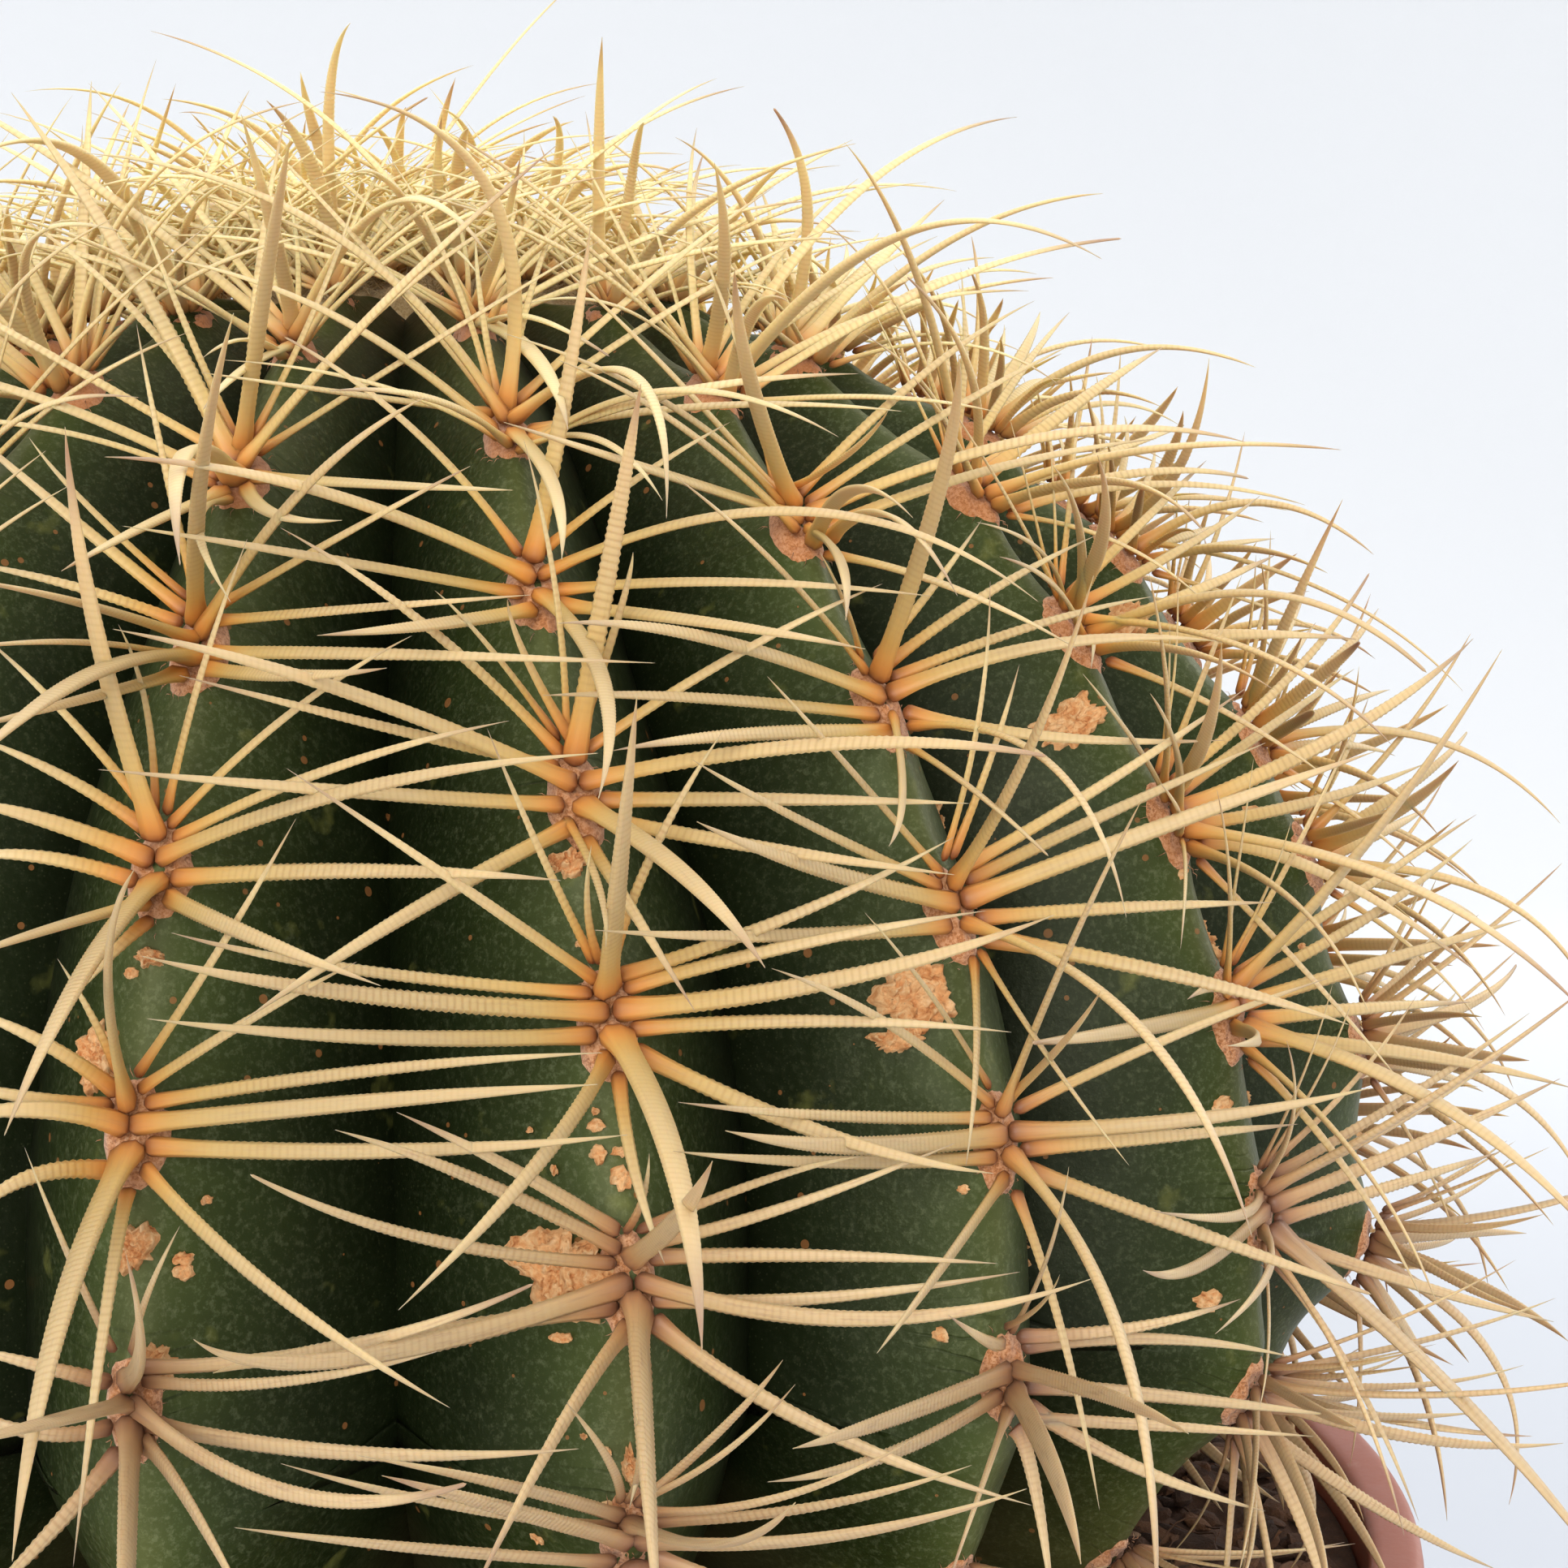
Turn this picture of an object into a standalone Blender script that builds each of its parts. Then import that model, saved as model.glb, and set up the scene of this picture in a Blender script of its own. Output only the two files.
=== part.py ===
# A globe cactus with ribs and golden spines, growing in a round plastic pot of potting mix.
# Lengths are in metres and Z is up. The origin is the middle of the pot's underside.
# The plant grew as one piece. Its crown, with the wool and the youngest spines, is a node of its own.

import math
import random

import bmesh
import bpy
import numpy as np
from mathutils import Vector
from mathutils.geometry import delaunay_2d_cdt

# Pot
pot_height = 0.165
lip_radius = 0.1067
lip_width = 0.0057
lip_depth = 0.021
pot_top_radius = 0.0985
pot_base_radius = 0.0780
wall_thickness = 0.0030
floor_thickness = 0.0040
edge_round = 0.0012
pot_sides = 48
drain_holes = 6
drain_radius = 0.0050
drain_circle = 0.0480

# Potting mix
soil_below_lip = 0.0065
soil_heap = 0.0030
soil_relief = 0.0012
soil_brim_drop = 0.0008
hollow_gap = 0.00054
soil_sides = 48
soil_rings = 3

# Globe
rib_count = 18
globe_radius = 0.1000
equator_height = 0.2000
crown_rise = 0.0984
crown_roundness = 2.216
lower_fall = 0.0741
lower_roundness = 1.328
furrow_depth = 0.0145
furrow_sharpness = 1.45
youngest_furrow = 0.12
furrow_starts = 0.014
furrow_full = 0.085
furrow_fades_above = 0.030
furrow_gone_below = 0.008
buried_depth = 0.0260
first_rib_angle = math.radians(-13.2)
crest_half_width = 0.0029
widest_crest = 0.55

# Areoles, the cushions that the spines come from, along each rib
areole_spacing = 0.0194
areole_start = 1.40
areole_crowding = 0.90
first_areole = 3
last_areole = 11
areole_half_step = 0.25
areole_half_length = 0.0040
areole_half_width = 0.0023
areole_foot = 0.0004
areole_rise = 0.0026
areole_sides = 8

# Crown
crown_seat_radius = 0.0205
crown_seat_dip = 0.0035
wool_radius = 0.0190
wool_rise = 0.0062
wool_sides = 36
wool_points = 150
crown_spine_share = 3
crown_lean = 0.42
crown_cone_slope = 0.50

# Spines
spine_length = 0.0390
crown_spine_length = 0.0330
lowest_spine_share = 0.65
spine_bend = 0.30
spine_waist = 0.45
spine_gap = 0.0003
lip_clearance = 0.0035
crown_clearance = 0.0035
least_facing = 0.35
least_parting = math.radians(25.0)
turn_spread = 6.0
rise_spread = 4.0
spine_seed = 13

seat_gap = 0.0003
full_turn = 2.0 * math.pi


def clear_scene():
    for old in list(bpy.data.objects):
        bpy.data.objects.remove(old, do_unlink=True)


def surface(name, colour, roughness):
    material = bpy.data.materials.new(name)
    material.use_nodes = True
    shader = material.node_tree.nodes["Principled BSDF"]
    shader.inputs["Base Color"].default_value = (*colour, 1.0)
    shader.inputs["Roughness"].default_value = roughness
    shader.inputs["Metallic"].default_value = 0.0
    return material


def make_object(name, mesh_builder, material=None, smooth_angle=None):
    mesh = bpy.data.meshes.new(name)
    bmesh.ops.recalc_face_normals(mesh_builder, faces=mesh_builder.faces)
    mesh_builder.to_mesh(mesh)
    mesh_builder.free()
    made = bpy.data.objects.new(name, mesh)
    bpy.context.scene.collection.objects.link(made)
    if material:
        mesh.materials.append(material)
    if smooth_angle:
        mesh.shade_smooth()
        mesh.set_sharp_from_angle(angle=math.radians(smooth_angle))
    return made


def apply_modifiers(made):
    bpy.context.view_layer.update()
    evaluated = made.evaluated_get(bpy.context.evaluated_depsgraph_get())
    mesh = bpy.data.meshes.new_from_object(evaluated)
    made.modifiers.clear()
    made.data = mesh


def bridge_rings(builder, rings):
    """Join rings of equal length with four-sided faces."""
    for lower, upper in zip(rings, rings[1:]):
        count = len(lower)
        for i in range(count):
            j = (i + 1) % count
            builder.faces.new((lower[i], lower[j], upper[j], upper[i]))


def turned(profile, sides, shape=None):
    """Turn a profile of (radius, height) points round Z. A radius of zero closes it with a point."""
    builder = bmesh.new()
    rings = []
    tips = []
    for place, (radius, height) in enumerate(profile):
        if radius == 0.0:
            tips.append((len(rings), builder.verts.new((0.0, 0.0, height))))
            continue
        ring = []
        for i in range(sides):
            angle = full_turn * i / sides
            lift = shape(radius, angle, place) if shape else 0.0
            spot = (radius * math.sin(angle), -radius * math.cos(angle), height + lift)
            ring.append(builder.verts.new(spot))
        rings.append(ring)
    bridge_rings(builder, rings)
    for index, tip in tips:
        ring = rings[0] if index == 0 else rings[-1]
        for i in range(sides):
            builder.faces.new((ring[i], ring[(i + 1) % sides], tip))
    return builder


# Pot

def inner_wall_radius(height):
    """Radius of the pot's inside at a height below the lip."""
    share = (height - floor_thickness) / (pot_height - lip_depth - floor_thickness)
    base = pot_base_radius - wall_thickness
    return base + (pot_top_radius - pot_base_radius) * share


def make_pot():
    lip_inner = lip_radius - lip_width
    lip_foot = pot_height - lip_depth
    profile = [
        (0.0, 0.0),
        (pot_base_radius - edge_round, 0.0),
        (pot_base_radius, edge_round),
        (pot_top_radius, lip_foot),
        (lip_radius - edge_round, lip_foot),
        (lip_radius, lip_foot + edge_round),
        (lip_radius, pot_height - edge_round),
        (lip_radius - edge_round, pot_height),
        (lip_inner + edge_round, pot_height),
        (lip_inner, pot_height - edge_round),
        (lip_inner, lip_foot + 0.5 * lip_depth),
        (inner_wall_radius(lip_foot), lip_foot - edge_round),
        (inner_wall_radius(floor_thickness), floor_thickness),
        (0.0, floor_thickness),
    ]
    material = surface("brick_pink_plastic", (0.42, 0.13, 0.10), 0.45)
    pot = make_object("pot", turned(profile, pot_sides), material, 40)
    drill = bmesh.new()
    for i in range(drain_holes):
        angle = full_turn * (i + 0.5) / drain_holes
        rings = []
        for height in (-floor_thickness, 2.0 * floor_thickness):
            ring = []
            for j in range(12):
                turn = full_turn * j / 12
                x = drain_circle * math.cos(angle) + drain_radius * math.cos(turn)
                y = drain_circle * math.sin(angle) + drain_radius * math.sin(turn)
                ring.append(drill.verts.new((x, y, height)))
            rings.append(ring)
        bridge_rings(drill, rings)
        drill.faces.new(rings[0])
        drill.faces.new(rings[1])
    cutter = make_object("drain_cutter", drill)
    cut = pot.modifiers.new("drain holes", "BOOLEAN")
    cut.operation = "DIFFERENCE"
    cut.object = cutter
    apply_modifiers(pot)
    bpy.data.objects.remove(cutter, do_unlink=True)


# Globe

def crest_outline():
    """Radius and height of a rib's crest, sampled from the apex down, with the length along it."""
    angle = np.linspace(0.5 * math.pi, -0.5 * math.pi, 2400)
    upper = angle >= 0.0
    power = np.where(upper, crown_roundness, lower_roundness)
    tall = np.where(upper, crown_rise, lower_fall)
    across = np.abs(np.cos(angle))
    along = np.abs(np.sin(angle))
    scale = (across ** power + along ** power) ** (-1.0 / power)
    radius = globe_radius * scale * across
    height = equator_height + tall * scale * np.sin(angle)
    steps = np.hypot(np.diff(radius), np.diff(height))
    length = np.concatenate([[0.0], np.cumsum(steps)])
    return radius, height, length


outline_radius, outline_height, outline_length = crest_outline()
pot_soil_height = pot_height - soil_below_lip
soil_top = pot_soil_height + soil_heap
below_equator = outline_height < equator_height
soil_arc = float(np.interp(-soil_top, -outline_height[below_equator], outline_length[below_equator]))


def crest_at(arc):
    """Radius, height and outward slope of the crest at a length from the apex."""
    radius = float(np.interp(arc, outline_length, outline_radius))
    height = float(np.interp(arc, outline_length, outline_height))
    before = max(arc - 0.001, 0.0)
    after = arc + 0.001
    run = np.interp(after, outline_length, outline_radius) - np.interp(before, outline_length, outline_radius)
    fall = np.interp(after, outline_length, outline_height) - np.interp(before, outline_length, outline_height)
    size = math.hypot(run, fall)
    return radius, height, -fall / size, run / size


def areole_arc(step):
    """Length from the apex of an areole. Young ones near the crown stand closer together."""
    stretch = areole_crowding * math.log(1.0 + math.exp((step - areole_start) / areole_crowding))
    return areole_spacing * stretch


def rib_shift(rib):
    """Each rib's areoles sit a third of a space nearer the crown than those of the rib before."""
    return (1 - (rib + 1) % 3) / 3.0


def rib_angle(rib):
    return first_rib_angle + full_turn * rib / rib_count


def ease(value, low, high):
    share = min(max((value - low) / (high - low), 0.0), 1.0)
    return share * share * (3.0 - 2.0 * share)


def furrow_at(arc):
    """Depth of the furrows: shallow at the crown and gone where the base is buried."""
    young = youngest_furrow + (1.0 - youngest_furrow) * ease(arc, furrow_starts, furrow_full)
    buried = 1.0 - ease(arc, soil_arc - furrow_fades_above, soil_arc + furrow_gone_below)
    return furrow_depth * young * buried


def column_places(arc):
    """The five columns of a rib: its furrow, two flanks and the two edges of its crest."""
    half_rib = crest_at(arc)[0] * math.pi / rib_count
    crest = min(crest_half_width / half_rib, widest_crest)
    flank = 0.5 * (crest + 1.0)
    return [-1.0, -flank, -crest, crest, flank]


def skin_point(arc, rib, across):
    """A point of the skin. Across runs from the crest, at zero, to the furrows at one."""
    radius, height, out, up = crest_at(arc)
    drop = furrow_at(arc) * abs(across) ** furrow_sharpness
    angle = rib_angle(rib) + across * math.pi / rib_count
    radius -= drop * out
    height -= drop * up
    return Vector((radius * math.sin(angle), -radius * math.cos(angle), height))


buried_arcs = [soil_arc + 0.002, soil_arc + 0.40 * buried_depth, soil_arc + buried_depth]


def skin_rows():
    """Steps along the ribs: one row at the upper and one at the lower end of every areole."""
    rows = []
    for number in range(first_areole, last_areole + 1):
        rows += [number - areole_half_step, number + areole_half_step]
    rows.append(last_areole + 3.0 * areole_half_step)
    return rows


def seat_ring(builder):
    """Edge of the flat seat for the crown's wool."""
    ring = []
    for rib in range(rib_count):
        for across in column_places(crown_seat_radius):
            angle = rib_angle(rib) + across * math.pi / rib_count
            x = crown_seat_radius * math.sin(angle)
            y = -crown_seat_radius * math.cos(angle)
            ring.append(builder.verts.new((x, y, equator_height + crown_rise - crown_seat_dip)))
    return ring


def skin_ring(builder, arc_of):
    """One row of skin. arc_of gives the length from the apex for a rib's shift along the crest."""
    ring = []
    for rib in range(rib_count):
        for column, crest_share in enumerate((0.0, 0.5, 1.0, 1.0, 0.5)):
            arc = arc_of(rib_shift(rib) * crest_share)
            ring.append(builder.verts.new(skin_point(arc, rib, column_places(arc)[column])))
    return ring


def build_globe():
    """The ribbed skin, with a cushion on every crest in place of one face, and spines raised from it."""
    builder = bmesh.new()
    rows = skin_rows()
    rings = [seat_ring(builder)]
    for row in rows:
        rings.append(skin_ring(builder, lambda shift: areole_arc(row + shift)))
    for buried_arc in buried_arcs:
        rings.append(skin_ring(builder, lambda shift: buried_arc))
    areole_rows = range(1, len(rows) - 1, 2)
    for row in range(len(rings) - 1):
        upper = rings[row]
        lower = rings[row + 1]
        for i in range(len(upper)):
            if row in areole_rows and i % 5 == 2:
                continue
            j = (i + 1) % len(upper)
            builder.faces.new((lower[i], lower[j], upper[j], upper[i]))
    builder.faces.new(rings[0])
    builder.faces.new(list(reversed(rings[-1])))
    add_areoles(builder, rings)
    bmesh.ops.triangulate(builder, faces=builder.faces)
    return builder


# Spines

def nearest_gap(start, end, radii, others):
    """Smallest clearance between one tapered line and the others, each with its two ends and two radii."""
    lines = np.array(others)
    first = np.array(start)
    run = np.array(end) - first
    base = lines[:, 0:3]
    along = lines[:, 3:6] - base
    offset = first - base
    run_run = float(run @ run)
    line_line = np.einsum("ij,ij->i", along, along)
    run_line = along @ run
    run_offset = offset @ run
    line_offset = np.einsum("ij,ij->i", along, offset)
    spread = np.maximum(run_run * line_line - run_line ** 2, 1e-12)
    share = np.clip((run_line * line_offset - run_offset * line_line) / spread, 0.0, 1.0)
    other_share = np.clip((share * run_line + line_offset) / line_line, 0.0, 1.0)
    share = np.clip((other_share * run_line - run_offset) / run_run, 0.0, 1.0)
    apart = offset + share[:, None] * run - other_share[:, None] * along
    own_radius = radii[0] + (radii[1] - radii[0]) * share
    other_radius = lines[:, 6] + (lines[:, 7] - lines[:, 6]) * other_share
    return float((np.sqrt((apart ** 2).sum(axis=1)) - own_radius - other_radius).min())


def spine_lines(points, root_radius):
    """Each stretch of a spine as one row: its two ends and its radius at both."""
    radii = [root_radius, 0.0] if len(points) == 2 else [root_radius, spine_waist * root_radius, 0.0]
    rows = []
    for i in range(len(points) - 1):
        rows.append((*points[i], *points[i + 1], radii[i], radii[i + 1]))
    return rows


def spine_clears(points, root_radius, placed):
    """True where a spine stays off the lip, the mix, the crown's own spines and the spines placed before."""
    for start, end in zip(points, points[1:]):
        for share in (0.25, 0.5, 0.75, 1.0):
            spot = start.lerp(end, share)
            radius = math.hypot(spot.x, spot.y)
            if radius < lip_radius + lip_clearance and spot.z < pot_height + lip_clearance:
                return False
            above_crown = spot.z - (equator_height + crown_rise)
            crown_cone = crown_seat_radius + crown_clearance + crown_cone_slope * max(above_crown, 0.0)
            if above_crown > -crown_clearance and radius < crown_cone:
                return False
    for row in spine_lines(points, root_radius):
        if placed and nearest_gap(Vector(row[0:3]), Vector(row[3:6]), row[6:8], placed) < spine_gap:
            return False
    return True


def spine_points(root, direction, length, lean):
    """Root and tip of a straight spine. A bent one has a middle, and its tip leans away from it."""
    tip = root + (direction + lean) * length
    if lean.length == 0.0:
        return [root, tip]
    return [root, root + (direction * 0.52 - lean * 0.12) * length, tip]


def raise_spine(builder, base, points):
    """Draw a three-sided spine out of the skin, from the three corners of its base to its tip."""
    ring = list(base)
    middle = sum((corner.co for corner in base), Vector()) / 3.0
    for centre in points[1:-1]:
        narrow = [builder.verts.new(centre + (corner.co - middle) * spine_waist) for corner in base]
        for i in range(3):
            j = (i + 1) % 3
            builder.faces.new((ring[i], ring[j], narrow[j], narrow[i]))
        ring = narrow
    tip = builder.verts.new(points[-1])
    for i in range(3):
        builder.faces.new((ring[i], ring[(i + 1) % 3], tip))


# One entry for each side of an areole, from straight down the rib round to the right: degrees turned,
# degrees raised from the skin, share of the length, and the bend towards the sky or the floor
spine_kinds = [
    (-4.0, 44.0, 1.08, -spine_bend),
    (50.0, 36.0, 0.85, 0.0),
    (86.0, 25.0, 0.95, 0.0),
    (128.0, 34.0, 0.90, 0.0),
    (176.0, 60.0, 1.05, 0.14),
    (-126.0, 30.0, 0.92, 0.0),
    (-92.0, 30.0, 0.95, 0.0),
    (-48.0, 41.0, 0.85, 0.0),
]


def areole_frame(number, rib):
    """Directions at an areole: out of the skin, down the rib and to the right."""
    radius, height, out, up = crest_at(areole_arc(number + rib_shift(rib)))
    angle = rib_angle(rib)
    outward = Vector((math.sin(angle), -math.cos(angle), 0.0))
    normal = outward * out + Vector((0.0, 0.0, up))
    down = outward * up - Vector((0.0, 0.0, out))
    right = Vector((math.cos(angle), math.sin(angle), 0.0))
    return normal, down, right


def raise_cushion(builder, upper, lower, frame):
    """Fill the gap left in the crest with the foot of a low eight-sided cushion. Its sides stay open."""
    normal, down, right = frame
    centre = sum((corner.co for corner in upper + lower), Vector()) / 4.0
    half_width = min(areole_half_width, 0.40 * (upper[1].co - upper[0].co).length)
    half_length = min(areole_half_length, 0.40 * (upper[0].co - lower[0].co).length)
    foot = []
    for i in range(areole_sides):
        turn = full_turn * (i + 0.5) / areole_sides
        spot = down * (math.cos(turn) * half_length) + right * (math.sin(turn) * half_width)
        foot.append(builder.verts.new(centre + spot + normal * areole_foot))
    corners = [lower[1], upper[1], upper[0], lower[0]]
    for i, corner in enumerate(corners):
        after = corners[(i + 1) % 4]
        next_foot = foot[(2 * i + 2) % areole_sides]
        builder.faces.new((corner, foot[2 * i + 1], foot[2 * i]))
        builder.faces.new((corner, after, next_foot, foot[2 * i + 1]))
    return foot, builder.verts.new(centre + normal * areole_rise)


def choose_spine(kind, base, frame, lowest, placed, own_directions, chance):
    """Turn a spine about its usual direction until it clears the others, and shorten it if it can't."""
    turn, rise, share, bend = kind
    normal, down, right = frame
    root = sum((corner.co for corner in base), Vector()) / 3.0
    root_radius = max((corner.co - root).length for corner in base)
    facet = (base[1].co - base[0].co).cross(base[2].co - base[0].co).normalized()
    length = spine_length * share * chance.uniform(0.88, 1.10)
    if lowest:
        length *= lowest_spine_share
    for attempt in range(180):
        wider = 1.0 + 0.05 * attempt
        if attempt > 50:
            length *= 0.975
        turned_by = math.radians(turn + chance.uniform(-turn_spread, turn_spread) * min(wider, 3.0))
        raised_by = math.radians(rise + chance.uniform(-rise_spread, rise_spread) * wider)
        sideways = down * math.cos(turned_by) + right * math.sin(turned_by)
        direction = sideways * math.cos(raised_by) + normal * math.sin(raised_by)
        lean = Vector((0.0, 0.0, bend))
        if lowest:
            direction = (direction + Vector((0.0, 0.0, chance.uniform(0.0, 0.6)))).normalized()
            lean *= 0.4
        points = spine_points(root, direction, length, lean)
        parted = all(direction.angle(other) > least_parting for other in own_directions)
        if not parted or direction.dot(facet) < least_facing:
            continue
        if spine_clears(points, root_radius, placed):
            break
    return points, direction, root_radius


def add_areoles(builder, rings):
    """A cushion on every crest, with a spine drawn out of each of its sides."""
    chance = random.Random(spine_seed)
    placed = []
    for row, number in enumerate(range(first_areole, last_areole + 1)):
        for rib in range(rib_count):
            frame = areole_frame(number, rib)
            crest = slice(5 * rib + 2, 5 * rib + 4)
            upper = rings[1 + 2 * row][crest]
            lower = rings[2 + 2 * row][crest]
            foot, top = raise_cushion(builder, upper, lower, frame)
            lowest = number == last_areole
            own = []
            own_directions = []
            for i, kind in enumerate(spine_kinds):
                base = (foot[i - 1], foot[i], top)
                chosen = choose_spine(kind, base, frame, lowest, placed, own_directions, chance)
                points, direction, root_radius = chosen
                raise_spine(builder, base, points)
                own += spine_lines(points, root_radius)
                own_directions.append(direction)
            placed += own


# Crown

def dome_height(radius):
    return wool_rise * math.sqrt(max(1.0 - (radius / wool_radius) ** 2, 0.0)) ** 1.3


def build_crown():
    """Low dome of wool, flat below. Its points lie at the golden angle, and every third face is a spine."""
    builder = bmesh.new()
    chance = random.Random(spine_seed + 1)
    seat = equator_height + crown_rise - crown_seat_dip + seat_gap
    golden_angle = math.pi * (3.0 - math.sqrt(5.0))
    flat = []
    for i in range(wool_sides):
        angle = full_turn * i / wool_sides
        flat.append(Vector((wool_radius * math.sin(angle), -wool_radius * math.cos(angle))))
    for i in range(wool_points):
        radius = 0.93 * wool_radius * math.sqrt((i + 0.5) / wool_points)
        flat.append(Vector((radius * math.sin(golden_angle * i), -radius * math.cos(golden_angle * i))))
    edges = [(i, (i + 1) % wool_sides) for i in range(wool_sides)]
    places, _, faces, _, _, _ = delaunay_2d_cdt(flat, edges, [], 1, 1e-6)
    corners = []
    for place in places:
        corners.append(builder.verts.new((place.x, place.y, seat + dome_height(place.length))))
    builder.faces.new(list(reversed(corners[:wool_sides])))
    for number, face in enumerate(faces):
        base = [corners[i] for i in face]
        root = sum((corner.co for corner in base), Vector()) / 3.0
        share = math.hypot(root.x, root.y) / wool_radius
        if number % crown_spine_share or share > 0.88:
            builder.faces.new(base)
            continue
        outward = Vector((root.x, root.y, 0.0)) / max(share * wool_radius, 1e-6)
        lean = crown_lean * share + chance.uniform(-0.02, 0.02)
        direction = (Vector((0.0, 0.0, 1.0)) + outward * lean).normalized()
        length = crown_spine_length * (0.55 + 0.45 * share) * chance.uniform(0.9, 1.1)
        raise_spine(builder, base, spine_points(root, direction, length, Vector()))
    return builder


def make_stem():
    material = surface("cactus_skin_and_spines", (0.055, 0.115, 0.050), 0.55)
    make_object("cactus_stem", build_globe(), material, 40)


def make_crown():
    material = surface("golden_wool_and_spines", (0.66, 0.47, 0.20), 0.85)
    make_object("crown_wool", build_crown(), material, 40)


# Potting mix

def make_soil():
    """The mix fills the pot, with a hollow that follows the buried base of the plant."""
    lip_foot = pot_height - lip_depth
    lip_inner = lip_radius - lip_width - seat_gap
    floor = floor_thickness + seat_gap
    profile = [
        (0.0, floor),
        (inner_wall_radius(floor) - seat_gap, floor),
        (inner_wall_radius(lip_foot) - seat_gap, lip_foot - edge_round),
        (lip_inner, lip_foot + 0.5 * lip_depth),
        (lip_inner, pot_soil_height),
    ]
    hollow = []
    for arc in buried_arcs:
        radius, height, out, up = crest_at(arc)
        hollow.append((radius + hollow_gap * out, height + hollow_gap * up))
    brim = hollow[0][0] + seat_gap
    relief_from = len(profile)
    for ring in range(1, soil_rings + 1):
        share = ring / soil_rings
        radius = lip_inner * (1.0 - share) + brim * share
        height = pot_soil_height + soil_heap * ease(share, 0.0, 1.0) - soil_brim_drop
        profile.append((radius, height))
    relief_to = len(profile) - 1
    profile += hollow
    profile.append((0.0, hollow[-1][1]))

    def relief(radius, angle, place):
        """Low waves on the open surface between the lip and the plant."""
        if place < relief_from or place >= relief_to:
            return 0.0
        wave = math.sin(7.0 * angle + 310.0 * radius) + math.sin(11.0 * angle - 190.0 * radius + 1.3)
        return 0.5 * soil_relief * wave

    material = surface("potting_mix", (0.085, 0.055, 0.035), 0.95)
    make_object("soil", turned(profile, soil_sides, relief), material, 50)


clear_scene()
make_pot()
make_soil()
make_stem()
make_crown()
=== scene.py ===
import math
import random
from types import SimpleNamespace

import bmesh
import bpy
import numpy as np
from mathutils import Matrix, Quaternion, Vector, noise


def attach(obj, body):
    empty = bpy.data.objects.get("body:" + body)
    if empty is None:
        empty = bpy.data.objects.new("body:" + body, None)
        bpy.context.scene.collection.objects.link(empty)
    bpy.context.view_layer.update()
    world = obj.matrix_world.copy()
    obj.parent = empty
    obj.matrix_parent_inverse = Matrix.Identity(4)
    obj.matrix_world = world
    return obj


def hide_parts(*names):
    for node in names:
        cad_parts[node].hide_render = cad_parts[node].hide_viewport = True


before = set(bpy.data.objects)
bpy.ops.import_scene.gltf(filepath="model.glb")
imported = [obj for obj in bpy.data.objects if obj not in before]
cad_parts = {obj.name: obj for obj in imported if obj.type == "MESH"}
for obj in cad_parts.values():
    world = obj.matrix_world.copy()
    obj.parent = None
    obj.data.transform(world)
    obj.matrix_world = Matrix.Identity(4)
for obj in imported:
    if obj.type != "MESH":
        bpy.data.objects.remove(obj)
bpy.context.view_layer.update()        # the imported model, which nothing below changes
mm = 0.001
fullTurn = 2.0 * math.pi
print("frame loaded")


# Small tools for materials

def linear(hexText, alpha=1.0):
    channels = [int(hexText[i:i + 2], 16) / 255.0 for i in (1, 3, 5)]
    return tuple([c / 12.92 if c <= 0.04045 else ((c + 0.055) / 1.055) ** 2.4 for c in channels] + [alpha])


def fill(node, settings):
    # a setting is a plain value, a ramp's stops, a map range's four ends, or the node or socket that feeds it
    for key, value in settings.items():
        if key == "ramp":        # each stop as a place and an sRGB hex
            stops = node.color_ramp.elements
            while len(stops) < len(value):
                stops.new(0.5)
            for stop, (place, hexText) in zip(stops, value):
                stop.position = place
                stop.color = linear(hexText)
        elif key == "range":     # from low, from high, to low, to high
            for place, end in enumerate(value, 1):
                node.inputs[place].default_value = end
        elif isinstance(value, (bpy.types.Node, bpy.types.NodeSocket)):
            if isinstance(value, bpy.types.Node):
                value = next(socket for socket in value.outputs if socket.enabled)
            node.id_data.links.new(value, node.inputs[key])
        elif isinstance(key, int) or key in node.inputs:
            node.inputs[key].default_value = value
        else:
            setattr(node, key, value)
    return node


def newMaterial(name, **shader):
    # the material, a function that adds a node to it, and its surface
    material = bpy.data.materials.new(name)
    material.use_nodes = True
    tree = material.node_tree
    tree.nodes.clear()

    def add(kind, settings=None):
        return fill(tree.nodes.new("ShaderNode" + kind), settings or {})

    surface = add("BsdfPrincipled", shader)
    add("OutputMaterial", {"Surface": surface})
    return material, add, surface


# Small tools for meshes

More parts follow.
